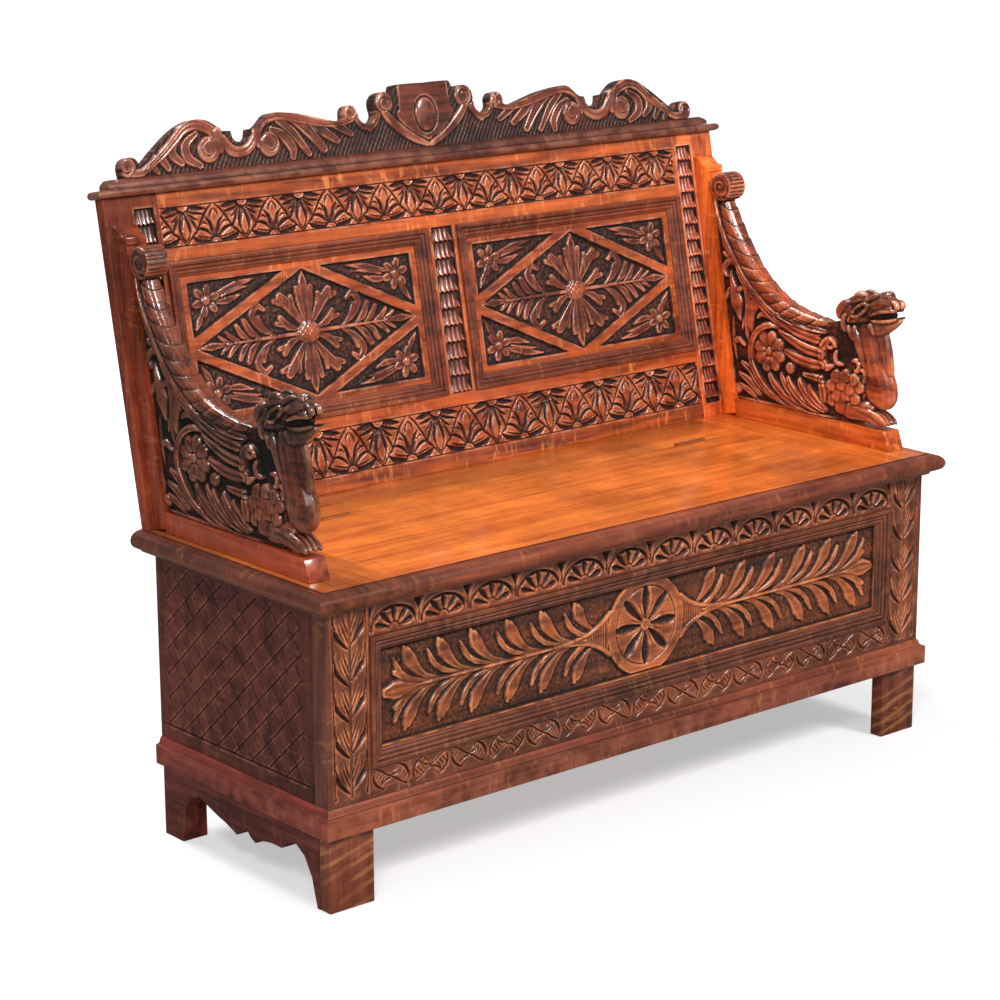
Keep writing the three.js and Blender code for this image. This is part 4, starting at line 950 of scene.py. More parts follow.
def lozengePanel(name, centre, nodes, seed):
    panel = {
        "halfWidth": 238, "halfHeight": 130.5, "middle": 247.5, "across": 204, "tall": 96, "strap": 16,
        "step": 1.45, "inset": 8, "thickness": 10.5
    }
    m = np.array([centre, panel["middle"]])
    reach = np.array([panel["halfWidth"], panel["halfHeight"]])
    (u0, v0), (u1, v1) = m - reach, m + reach
    relief = boardRelief(u0, u1, v0, v1, panel["step"])
    u, v, h = relief["u"] - m[0], relief["v"] - m[1], relief["h"]
    scale = math.hypot(1 / panel["across"], 1 / panel["tall"])
    gap = (np.abs(u) / panel["across"] + np.abs(v) / panel["tall"] - 1) / scale
    corner = (gap > panel["strap"]) & (np.abs(u) < 208) & (np.abs(v) < 97)
    h[gap < 0] = -5.2
    h[corner] = -4.8

    def draw(points, widths, top=(-2, 0), edge=-3.4, vein=1.1, flips=((1, 1),), flutes=0.0):
        for a, b in flips:
            spots = [(m[0] + a * x, m[1] + b * y) for x, y in points]
            raiseStroke(relief, spots, widths, top, edge, vein, flutes)

    four = ((1, 1), (-1, 1), (1, -1), (-1, -1))
    quarterLeaves = (
        ([(4, 14), (9, 44), (13, 68)], [3, 6.5, 5.2]),
        ([(8, 12), (24, 35), (36, 49), (45, 59)], [3, 9, 10, 8]),
        ([(30, 43), (46, 50), (57, 53)], [4, 6.5, 5]),
        ([(20, 34), (25, 46), (26, 57)], [4, 5.5, 4.4]),
        ([(16, 5), (36, 13), (49, 27)], [2, 7.5, 5.4]),
        ([(34, 13), (48, 17), (58, 19)], [3, 5, 4.2]),
        ([(68, 3), (80, 14), (87, 25), (89, 33)], [1.5, 5, 5.4, 4]),
        ([(61, 1), (82, 14), (99, 34), (90, 50), (77, 43)], [1, 6.5, 7, 6, 4]),
        ([(87, 1), (105, 13), (115, 31)], [1, 7, 5]),
        ([(105, 1), (120, 10), (130, 25)], [1, 6, 4.2]),
        ([(123, 1), (138, 7), (149, 18)], [1, 5, 3.4]),
        ([(140, 1), (153, 6), (163, 13)], [1, 3.8, 2.6]),
    )
    for points, widths in quarterLeaves:
        draw(points, widths, (-1.8, 0.1), -4, 1.0, four, 1.1)
    for flip in ((1, 1), (1, -1)):
        draw([(0, 10), (0, 50), (0, 76), (0, 93)], [7, 8.5, 9, 1], (-1.4, 0.3), -4, 1.6, (flip,), 1.2)
    for side in (-1, 1):
        draw([(16, 0), (90, 0), (150, 0)], [3.6, 2.6, 2], -0.6, -4, 0.8, ((side, 1),))
        draw([(150, 0), (177, 0), (202, 0)], [2.4, 7.5, 1], (-1.2, 0), -4, 1.2, ((side, 1),), 1)
    raiseDisc(relief, m, (22, 17), 1.6, -3)
    boss = np.hypot(u / 20.5, v / 15.5) < 1
    h[boss] -= (1.6 * np.maximum(np.cos((u + v) * 0.95), np.cos((u - v) * 0.95)) ** 6)[boss]
    # corner flowers and their sprays
    for a, b in four:
        flower = m + (a * 177, b * 69)
        draw([(160, 76), (122, 86), (86, 92)], [3, 6.5, 1.5], (-1.6, 0), -4, 1, ((a, b),), 1)
        draw([(163, 64), (138, 65), (116, 71)], [3, 6.5, 1.8], (-1.6, 0), -4, 1, ((a, b),), 1)
        draw([(150, 72), (120, 80), (98, 82)], [2, 3.6, 1], (-1.8, -0.4), -4, 0, ((a, b),))
        draw([(184, 54), (192, 40), (201, 26)], [3, 6, 1.5], (-1.6, 0), -4, 1, ((a, b),), 1)
        for k in range(6):
            turn = math.radians(60 * k + 15)
            out = np.array([math.cos(turn), math.sin(turn)])
            raiseStroke(
                relief, [flower + out * 5, flower + out * 15, flower + out * 20], [2.4, 7, 7.4, 6],
                [-2.4, -0.4, -0.2], -4, 1.2, 1
            )
        raiseDisc(relief, flower, (7.5, 7.5), 0.6, -3)
    sunk = (gap < 0) | corner
    h[~sunk] = 0
    punchGround(relief, -3.8, 0.7, seed)
    sunkOrigin = np.array(backFace["origin"]) - panel["inset"] * np.array(backFace["n"])
    face = dict(backFace, origin=tuple(sunkOrigin))
    panelOak = oak(name + " oak", "panel", "x", seed)
    return carvedBoard(name, face, relief, panel["thickness"], nodes, panelOak, 4.8, rubAndHighlight=0.85)


lozengePanel("lozenge_panel_left", -271.5, ["back_panel_left"], 21)
lozengePanel("lozenge_panel_right", 271.5, ["back_panel_right"], 22)
print("back carved")

# Crest
crest = {"half": 571, "foot": 506.3, "height": 99, "thickness": 20.4, "step": 1.35}
crestShares = [
    (0, 0.99), (0.087, 1), (0.101, 0.949), (0.111, 0.838), (0.125, 0.889), (0.139, 0.904), (0.158, 0.879),
    (0.172, 0.798), (0.175, 0.687), (0.172, 0.556), (0.182, 0.47), (0.199, 0.434), (0.218, 0.455),
    (0.231, 0.535),
    (0.232, 0.646), (0.241, 0.722), (0.255, 0.747), (0.27, 0.712), (0.276, 0.626), (0.279, 0.54),
    (0.307, 0.52),
    (0.355, 0.586), (0.416, 0.677), (0.464, 0.722), (0.503, 0.742), (0.527, 0.712), (0.551, 0.596),
    (0.568, 0.54),
    (0.586, 0.535), (0.591, 0.419), (0.601, 0.369), (0.615, 0.354), (0.629, 0.369), (0.64, 0.419),
    (0.645, 0.535),
    (0.672, 0.545), (0.69, 0.636), (0.714, 0.717), (0.745, 0.747), (0.776, 0.727), (0.815, 0.636),
    (0.853, 0.495),
    (0.887, 0.348), (0.927, 0.177), (0.943, 0.258), (0.964, 0.293), (0.983, 0.242), (0.99, 0.141),
    (0.988, 0),
]
half = np.array(crestShares) * (crest["half"], crest["height"]) + (0, crest["foot"])
half = np.vstack(
    [
        smoothLine(half[:3], 3), smoothLine(half[3:29], 4), smoothLine(half[29:35], 4),
        smoothLine(half[35:], 4)
    ]
)
half[:, 1] = np.clip(half[:, 1], crest["foot"], crest["foot"] + crest["height"] - 0.4)
outline = np.vstack([half, (half * (-1, 1))[::-1][:-1]])
relief = newRelief(evenly(-573, 573, crest["step"]), evenly(crest["foot"] - 2, 607, crest["step"]))
u, v, h = relief["u"], relief["v"], relief["h"]
h[:] = -4.6
steep = np.clip((np.abs(((u - 0.62 * v) / 8) % 1 - 0.5) - 0.38) / 0.08, 0, 1)
cross = np.clip((np.abs(((u + 1.5 * v) / 14) % 1 - 0.5) - 0.42) / 0.06, 0, 1)
h += 1.1 * steep + 0.5 * cross
for side in (-1, 1):
    def crestStroke(points, widths, top=0.0, edge=-3, vein=0.0, flutes=0.0, side=side):
        raiseStroke(relief, [(side * x, y) for x, y in points], widths, top, edge, vein, flutes)

    # C-band round the shield, and its scroll
    crestStroke([(1, 508), (24, 519), (46, 532), (66, 548), (82, 566)], [4, 7, 8, 8, 7], 0.2, -3.4)
    gouge(
        relief, [(side * 1, 514), (side * 22, 524), (side * 42, 537), (side * 58, 553)], [1.2, 1.2, 1], 1.6
    )
    raiseScroll(relief, (side * 79, 579), 17, -math.pi / 2, side * 0.7, 4.5, 0.6, -3)
    # saddle and small scroll
    crestStroke([(96, 561), (108, 548), (126, 550), (136, 563)], [8, 9, 8, 5], -0.2, -3.4, 0, 0.6)
    crestStroke([(112, 556), (112, 542)], [8, 6], -0.4, -3.4)
    raiseScroll(relief, (side * 147, 568), 13, math.pi / 2, side * 0.6, 4, 0.4, -3)
    # long acanthus leaf: lobes sweep from the rib towards the middle
    lobes = (
        (((186, 556), (168, 548), (149, 537)), [5, 8, 6]),
        (((222, 560), (202, 546), (177, 529)), [6, 10, 7]),
        (((262, 572), (232, 552), (203, 518)), [7, 12, 8]),
        (((282, 568), (258, 548), (232, 514)), [6, 9, 6]),
        (((296, 556), (278, 546), (262, 526), (262, 511)), [5, 9, 10, 6]),
    )
    for lobe, widths in lobes:
        crestStroke(lobe, widths, (-0.6, -0.2), -4, 1.6, 1.5)
    crestStroke(
        [
            (144, 560), (162, 556), (190, 556), (222, 562), (256, 571), (286, 577), (312, 571), (324, 552),
            (322, 534)
        ],
        [6, 6.5, 6.5, 7.5, 9, 10, 12, 9, 5], 0.2, -3, 0.6, 0.9
    )
    raiseScroll(relief, (side * 303, 534), 19.5, math.pi / 2, side * 0.75, 5, 0.8, -3)
    # saddle between the leaves
    crestStroke(
        [(326, 548), (338, 534), (354, 527), (372, 531), (386, 548)], [8, 8, 8.5, 9, 8], -0.2, -3.4, 0.8
    )
    crestStroke([(392, 534), (394, 558)], [7, 9], 0.2, -2.5)
    # outer leaf with its scroll
    lobes = (
        (((506, 532), (512, 520), (504, 509)), [5, 7, 4]),
        (((480, 548), (495, 532), (486, 514)), [5, 9, 6]),
        (((456, 562), (474, 546), (475, 532), (462, 519)), [5, 9, 9, 6]),
        (((430, 560), (450, 546), (450, 526), (430, 513)), [5, 9, 10, 6]),
    )
    for lobe, widths in lobes:
        crestStroke(lobe, widths, (-0.6, -0.2), -4, 1.6, 1.4)
    crestStroke(
        [(396, 542), (404, 562), (428, 573), (450, 569), (470, 553), (498, 531), (530, 513)],
        [7, 9, 10, 9, 8, 7, 5], 0.2, -3, 0.9, 1.3
    )
    raiseScroll(relief, (side * 412, 535), 20, math.pi / 2, -side * 0.75, 5, 0.8, -3)
    crestStroke([(520, 515), (538, 511), (552, 513)], [5, 7, 6], 0, -3)
    raiseScroll(relief, (side * 556, 521), 15, math.pi, -side * 0.6, 4.5, 0.4, -3)
shield = np.abs(u) < np.interp(v, (515, 527, 540, 552, 562, 566, 606), (0, 24, 42, 54, 56, 51, 49))
h[shield] = -1.5
oval = np.hypot(u / 20, (v - 556) / 26)
h[(oval > 1) & (oval < 1.13)] = -3.6
h[oval <= 1] = (-2.4 + 4.2 * np.sqrt(np.clip(1 - oval ** 2, 0, 1)))[oval <= 1]
h[:] = np.minimum(h, 1.8)
crestFace = dict(backFace, origin=tuple(np.array(backFace["origin"]) + 0.4 * np.array(backFace["n"])))
crestOak = oak("crest oak", "crest", "x", 31)
carvedBoard(
    "crest_carving", crestFace, relief, crest["thickness"], ["crest_board"], crestOak, 3.4,
    outline
)
print("crest carved")

# Mouldings and frames


def runOn(face, axis, edge, sign):
    # axis "u" runs sideways at height edge; axis "v" runs upright at edge; insets go by sign
    if axis == "u":
        return lambda a, n, t: onFace(face, t, edge + sign * a, n)
    return lambda a, n, t: onFace(face, edge + sign * a, t, n)


reeded = [
    (0, -8), (0, 3.2), (0.7, 4.6), (2, 5), (4.4, 5), (6.2, 4.3), (7, 3.0), (7.6, 1.2), (8.6, 1.0),
    (9.2, 1.9), (10.6, 2.4),
    (12.2, 1.8), (13.2, 0.6), (13.8, -1), (14.6, -1.2), (15.2, -0.5), (16.6, -0.1), (18.2, -0.7),
    (19.2, -1.9),
    (20, -3.4), (20.8, -3.6), (22.4, -4.5), (23.6, -6.2), (24, -8),
]


def reededFrame(name, face, low, high, nodes, finish):
    board = bmesh.new()
    (u0, v0), (u1, v1) = low, high
    addRun(board, reeded, runOn(face, "u", v0, 1), u0, u1, 1, -1)
    addRun(board, reeded, runOn(face, "u", v1, -1), u0, u1, 1, -1)
    addRun(board, reeded, runOn(face, "v", u0, 1), v0, v1, 1, -1)
    addRun(board, reeded, runOn(face, "v", u1, -1), v0, v1, 1, -1)
    pieceFrom(board, name, "settle", nodes, finish, 40, 0)


mouldingOak = oak("front moulding oak", "front", "x", 41)
reededFrame(
    "chest_front_moulding", frontFace, (-525, 197), (525, 386),
    ["chest_front_moulding_" + side for side in frameSides], mouldingOak
)
mouldingOak = oak("back moulding oak", "frame", "x", 42, 0.88)
for name, low, high in (("left", -514, -29), ("right", 29, 514)):
    nodes = [f"back_moulding_{name}_{side}" for side in frameSides]
    reededFrame(
        "back_moulding_" + name, backFace, (low, 116), (high, 379), nodes, mouldingOak
    )

# Seat
seat = {
    "low": 431, "high": 466, "over": 26, "lidHalf": 487.5, "outer": 626, "lidRear": 295.5, "rear": 434,
    "flat": 465.8, "nose": 40
}
# the left seat side is painted darker than the right: painted shade
seatLitAndShaded = {"left": 0.86, "right": 1.0}
bull = smoothLine(
    [
        (19.6, 464.4), (11.7, 463.2), (5.2, 460), (1.3, 455), (0, 449.6), (1.3, 444.3), (4.7, 440),
        (9.9, 437.2), (16.6, 435.6)
    ],
    3
)
nosing = [
    (40, 466), (20.8, 466), (20.2, 465.6), (20.1, 464.2), *bull.tolist(), (17.6, 433.4), (18.4, 431),
    (40, 431)
]


def seatFront(a, z, x):
    return onFace(frontFace, x, z, seat["over"] - a)


# below the seat's flat top, the lid and side boards take the darker carved colours: painted shade on the
# nosing
board = bmesh.new()
addRun(board, nosing, seatFront, -seat["lidHalf"], seat["lidHalf"])
low = (-seat["lidHalf"], frontY - seat["over"] + seat["nose"], seat["low"])
addBox(board, low, (seat["lidHalf"], frontY + seat["lidRear"], seat["high"]), 0)
pieceFrom(
    board, "lid_board", "lid", ["seat_lid"], oak("lid oak", "seat", "x", 51), 30, seat["flat"]
)
for side, name in sides:
    board = bmesh.new()
    inner = seat["lidHalf"] + 0.5
    addRun(
        board, nosing, lambda a, z, x: onFace(frontFace, side * x, z, seat["over"] - a), inner,
        seat["outer"], 0, -1
    )

    def seatSide(a, z, y):
        return onFace(frontFace, side * (seat["outer"] - a), z, -y)

    addRun(board, nosing, seatSide, -seat["over"], seat["rear"], 1, 0)
    corners = sorted((side * inner, side * (seat["outer"] - seat["nose"])))
    addBox(
        board, (corners[0], frontY - seat["over"] + seat["nose"], seat["low"]),
        (corners[1], frontY + seat["rear"], seat["high"]), 0
    )
    seatOak = oak(name + " seat oak", "seat", "y", 52 + side, seatLitAndShaded[name])
    pieceFrom(
        board, "seat_side_" + name, "settle", ["seat_side_board_" + name], seatOak, 30,
        seat["flat"]
    )
low, high = nodeBox("seat_rear_rail")
board = bmesh.new()
addBox(board, low, high, 1.2)
rearOak = oak("rear seat oak", "seat", "x", 55, 0.98, 0.6, 105)
pieceFrom(board, "seat_rear_board", "settle", ["seat_rear_rail"], rearOak, 30)
print("seat made")

# Cap, crest base and plinth
capOak = oak("cap oak", "crest", "x", 61, 0.95)
board = bmesh.new()
cap = {"low": 480, "high": 492, "half": 606, "over": 12, "thickness": 20}
capEnd = cap["half"] + cap["over"]
torus = [
    (12, 492), (7, 491.9), (3.4, 491.2), (1, 489.2), (0, 486), (1, 482.8), (3.4, 480.8), (7, 480.1),
    (12, 480)
]
addRun(board, torus, lambda a, v, t: onFace(backFace, t, v, cap["over"] - a), -capEnd, capEnd, 1, -1)
for side in (-1, 1):
    addRun(
        board, torus, lambda a, v, t: onFace(backFace, side * (capEnd - a), v, -t), -cap["over"],
        cap["thickness"], 1, 0
    )
low, high, deep = cap["low"], cap["high"], cap["thickness"]
block = [(0, low), (0, high), (deep, high), (deep, low)]
addRun(board, block, lambda a, v, t: onFace(backFace, t, v, -a), -cap["half"], cap["half"])
pieceFrom(board, "cap_torus", "settle", ["cap_moulding"], capOak, 35, 0)
board = bmesh.new()
sill = {
    "low": 492.4, "high": 506.2, "end": 596, "over": 6, "thickness": 20, "coreEnd": 582, "inset": 8,
    "deep": 12
}
low, high, deep = sill["low"], sill["high"], sill["deep"]
slope = [(0, low), (0, 497), (1, 499.4), (3, 501.6), (6, 504), (9, 506), (14, high), (14, low)]
addRun(
    board, slope, lambda a, v, t: onFace(backFace, t, v, sill["over"] - a), -sill["end"], sill["end"], 1, -1
)
for side in (-1, 1):
    addRun(
        board, slope, lambda a, v, t: onFace(backFace, side * (sill["end"] - a), v, -t), -sill["over"],
        sill["thickness"], 1, 0
    )
block = [(0, low), (0, high), (deep, high), (deep, low)]
addRun(
    board, block, lambda a, v, t: onFace(backFace, t, v, -sill["inset"] - a), -sill["coreEnd"],
    sill["coreEnd"]
)
pieceFrom(board, "crest_sill", "settle", ["crest_base"], capOak, 35, 0)

plinth = {"low": 112, "high": 153, "over": 10.6, "deep": 45, "half": 610.6}
ogee = smoothLine([(0, 140.5), (1.7, 142), (5.3, 143), (7, 146.1), (8.5, 150.5), (10.6, 153)], 4).tolist()
low, high, deep = plinth["low"], plinth["high"], plinth["deep"]
plinthProfile = [(deep, low), (1, low), (0, low + 1), *ogee, (deep, high)]
plinthOak = oak("plinth oak", "plinth", "x", 65)
plinthSideOak = oak("plinth side oak", "dark", "y", 66, 1.4)
board = bmesh.new()
half, over = plinth["half"], plinth["over"]
addRun(board, plinthProfile, lambda a, z, x: onFace(frontFace, x, z, over - a), -half, half, 1, -1)
pieceFrom(board, "plinth_rail", "settle", ["plinth_front"], plinthOak, 35, 0)
for side, name in sides:
    board = bmesh.new()
    rear = nodeBox("plinth_" + name)[1][1] - frontY
    addRun(
        board, plinthProfile, lambda a, z, y: onFace(frontFace, side * (half - a), z, -y), -over, rear, 1, 0
    )
    pieceFrom(board, "plinth_rail_" + name, "settle", ["plinth_" + name], plinthSideOak, 35, 0)

# Chest sides with their cut lattice
lattice = {
    "front": 55, "rear": 387, "low": 176, "high": 420, "steepPitch": 23, "shallowPitch": 28, "step": 1.5
}
for side, name, face in ((-1, "left", leftFace), (1, "right", rightFace)):
    low, high = nodeBox("chest_side_" + name)
    span = sorted((side * (low[1] - frontY), side * (high[1] - frontY)))
    relief = boardRelief(*span, low[2], high[2], lattice["step"])
    along, rise = np.abs(relief["u"]), relief["v"]
    field = (
        along > lattice["front"]
    ) & (along < lattice["rear"]) & (rise > lattice["low"]) & (rise < lattice["high"])
    steep, shallow = math.radians(51), math.radians(42)
    wide, narrow = lattice["shallowPitch"], lattice["steepPitch"]
    first = np.abs((((rise * math.cos(steep) - along * math.sin(steep)) / narrow) % 1) - 0.5) * narrow
    second = np.abs((((rise * math.cos(shallow) + along * math.sin(shallow)) / wide) % 1) - 0.5) * wide
    groove = 1.8 * np.clip(1 - (narrow / 2 - first) / 1.5, 0, 1)
    groove = groove + 2.2 * np.clip(1 - (wide / 2 - second) / 1.6, 0, 1)
    relief["h"] -= np.where(field, groove, 0)
    line = (np.abs(rise - lattice["low"]) < 1.6) & (along > 40) & (along < 396)
    relief["h"] -= np.where(line, 1.6, 0)
    thickness = abs(high[0] - low[0])
    latticeOak = oak(name + " side oak", "dark", "z", 70 + side)
    carvedBoard(
        "lattice_side_" + name, face, relief, thickness, ["chest_side_" + name], latticeOak, 2.4
    )
print("chest sides cut")

# Arm posts, arm rails and feet
arm = {
    "inner": 560.2, "outer": 596, "bevel": 1.1, "frontLow": 38, "frontHigh": 50, "rearLow": 384.8,
    "rearHigh": 390.6, "low": 466.3, "high": 497
}
# the left post and arm take the darker shaded finish and the right ones the brighter post finish: painted
# shade and painted light
armLitAndShaded = {"left": ("shaded", 1.0), "right": ("post", 1.2)}
postShape = [
    (0.3, 0.3), (28.2, 0.3), (28.2, 408), (29, 410.4), (30.8, 411.4), (31, 420.6), (30, 421.6), (24, 422.6),
    (18.5, 427), (12, 435.4), (6, 438.8), (0.3, 440)
]
for side, name in sides:
    look, shade = armLitAndShaded[name]
    postOak = oak(name + " post oak", look, "z", 80 + side, shade)
    armOak = oak(name + " arm oak", look, "y", 83 + side, 1.05)
    board = bmesh.new()
    n, s = np.array(postShape).T
    ends = [side * arm["inner"], side * arm["outer"]]
    loft(board, np.array([onFace(backFace, x, s, n) for x in ends]))
    roundEdges(board, board.edges, 0.9)
    pieceFrom(board, "arm_post_" + name + "_turned", "settle", ["arm_post_" + name], postOak)
    board = bmesh.new()
    y = np.array([arm["frontLow"], arm["rearLow"], arm["rearHigh"], arm["frontHigh"]])
    z = np.array([arm["low"], arm["low"], arm["high"], arm["high"]])
    loft(board, np.array([onFace(frontFace, x, z, -y) for x in ends]))
    roundEdges(board, board.edges, arm["bevel"])
    pieceFrom(board, "arm_rest_" + name, "settle", ["arm_rail_" + name], armOak)
    board = bmesh.new()
    addBox(board, *nodeBox("foot_front_" + name), 1.6)
    footOak = oak(name + " foot oak", "plinth", "z", 86 + side, 0.84, 0.5, 30)
    pieceFrom(board, "foot_block_" + name, "settle", ["foot_front_" + name], footOak)
print("arms and feet made")

sideOak = oak("bracket oak", "dark", "y", 90, 1.3)
plainOak = oak("plain oak", "plain", "x", 91)
steel = bpy.data.materials.new("aged hinge steel")
steel.use_nodes = True
tree = steel.node_tree
place = addNode(tree, "ShaderNodeTexCoord").outputs["Object"]
spots = addNode(tree, "ShaderNodeTexNoise", {"Vector": place, "Scale": 420, "Detail": 5}).outputs[0]
shader = tree.nodes["Principled BSDF"]
tree.links.new(
    mixTone(tree, ranged(tree, spots, 0.35, 0.65), tone(196, 112, 52), tone(118, 60, 28)),
    shader.inputs["Base Color"]
)
tree.links.new(ranged(tree, spots, 0.35, 0.65, 0.3, 0.55), shader.inputs["Roughness"])
tree.links.new(ranged(tree, spots, 0.45, 0.7, 0.6, 0.3), shader.inputs["Metallic"])
nodeFinish = {}
for side in ("left", "right"):
    nodeFinish["side_bracket_" + side] = sideOak
    nodeFinish["foot_rear_" + side] = sideOak
    nodeFinish["lid_batten_" + side] = plainOak
    for part in ("fixed_leaf", "lid_leaf", "pin"):
        nodeFinish[f"hinge_{part}_{side}"] = steel
for name in ("chest_rear_board", "chest_floor", "plinth_rear"):
    nodeFinish[name] = plainOak
for name, finish in nodeFinish.items():
    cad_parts[name].data.materials.clear()
    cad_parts[name].data.materials.append(finish)

# Arm beasts: many tapering strokes run into one carved body
beast = {"middle": 578.1, "voxel": 1.35, "wing": 14.5, "barb": 30, "barbCut": 2.0, "kept": 0.57}


volute = {"y": 431.5, "z": 853, "radius": 24, "width": 37}
rosette = {"y": 315, "z": 589, "petals": 8}


def onBeast(w, y, z):
    return ((beast["middle"] + w) * mm, (frontY + y) * mm, z * mm)


def webRear(z):
    return 384.3 + (z - 466) * 0.19584


def addStroke(board, points, widths, depths, out=0.0, square=1.0, rings=16):
    line = smoothLine(points)
    part = bmesh.new()
    bmesh.ops.create_uvsphere(part, u_segments=14, v_segments=rings, radius=1)
    for v in part.verts:
        share = math.acos(max(-1, min(1, -v.co.z))) / math.pi
        spot = share * (len(line) - 1)
        k = min(int(spot), len(line) - 2)
        along = line[k + 1] - line[k]
        along = along / max(np.hypot(*along), 1e-6)
        centre = line[k] + (line[k + 1] - line[k]) * (spot - k)
        ring = math.hypot(v.co.x, v.co.y)
        c, s = (v.co.x / ring, v.co.y / ring) if ring > 1e-4 else (0, 0)
        c, s = math.copysign(abs(c) ** square, c), math.copysign(abs(s) ** square, s)
        blunt = math.sqrt(max(0, 1 - abs(2 * share - 1) ** 5))
        width = float(spread(widths, share)) * c * blunt
        y, z = centre[0] - along[1] * width, centre[1] + along[0] * width
        w = float(spread(out, share)) + float(spread(depths, share)) * s * blunt
        v.co = onBeast(w, y, z)
    joinInto(board, part)


def carve(board, points, widths, height=16.0, depth=6.0, square=0.85):
    # the same stroke on both faces of the arm, its crown at this height from the middle
    for hand in (-1, 1):
        addStroke(
            board, points, widths, depth, [hand * (level - depth) for level in np.atleast_1d(height)],
            square
        )


def knob(board, y, z, radius, height=16.0, depth=6.0):
    # a rounded boss on both faces
    for hand in (-1, 1):
        part = bmesh.new()
        bmesh.ops.create_uvsphere(part, u_segments=20, v_segments=12, radius=1)
        bmesh.ops.scale(part, verts=part.verts, vec=(radius * mm, radius * mm, depth * mm))
        bmesh.ops.rotate(part, verts=part.verts, matrix=Matrix.Rotation(math.pi / 2, 3, "Y"))
        bmesh.ops.translate(part, verts=part.verts, vec=onBeast(hand * (height - depth), y, z))
        joinInto(board, part)


def offsetLine(line, reach):
    along = np.gradient(line, axis=0)
    along = along / np.hypot(along[:, 0], along[:, 1])[:, None]
    return line + np.stack([-along[:, 1], along[:, 0]], 1) * reach


bead = smoothLine(
    [
        (166, 640), (215, 637.6), (267, 644.5), (301, 656.6), (336, 677), (370, 705), (398, 739),
        (422, 774), (441, 812), (449, 840)
    ],
    4
)
feathers = [
    ([(306, 661), (268, 652), (228, 643), (186, 640)], [3, 6, 7, 7], 15.6),
    ([(318, 655), (288, 644), (250, 631), (196, 623)], [3, 9, 11, 11], 16.8),
    ([(300, 630), (264, 616), (230, 606), (194, 602)], [3, 10, 11.5, 11], 16.2),
    ([(284, 597), (256, 588), (226, 583), (192, 583)], [5, 10.5, 11.5, 10], 15.8),
    ([(240, 563), (216, 561), (190, 560)], [4, 8.5, 8], 15),
    ([(318, 556), (298, 532), (268, 514), (226, 501)], [5, 10, 10, 4], 15),
    ([(292, 560), (272, 534), (250, 517), (214, 503)], [4, 9.5, 9.5, 4], 14.2),
    ([(274, 556), (259, 534), (236, 516), (198, 503)], [4, 9.5, 10, 4], 15.2),
    ([(247, 556), (236, 538), (216, 520), (184, 505)], [4, 9.5, 10, 4], 15.8),
    ([(226, 548), (216, 534), (200, 520), (178, 508)], [4, 8, 9, 4], 14.8),
    ([(386, 563), (358, 551), (337, 530), (300, 506)], [4, 10, 10, 4], 13.8),
    ([(392, 543), (362, 531), (330, 507)], [4, 9.5, 5], 13),
    ([(392, 524), (364, 515), (340, 503)], [4, 8, 4], 12.5),
    ([(196, 560), (190, 540), (186, 520)], [7, 12, 6], 16.4),
]
scales = [
    (152, 525, 14, 22, 14.6), (130, 524, 12, 18, 14.8), (172, 531, 11, 16, 14.6),
    (161, 543, 11.5, 14, 15.8), (141, 542, 11.5, 14, 15.8), (121, 543, 10.5, 14, 15.8),
    (180, 548, 10, 13, 15.4),
    (171, 559, 11.5, 14, 16.8), (151, 558, 11.5, 14, 16.8), (131, 558, 11.5, 14, 16.8),
    (112, 560, 10, 13, 17),
    (162, 575, 11.5, 14, 17.8), (142, 574, 11.5, 14, 17.8), (122, 575, 11, 13, 17.8),
]


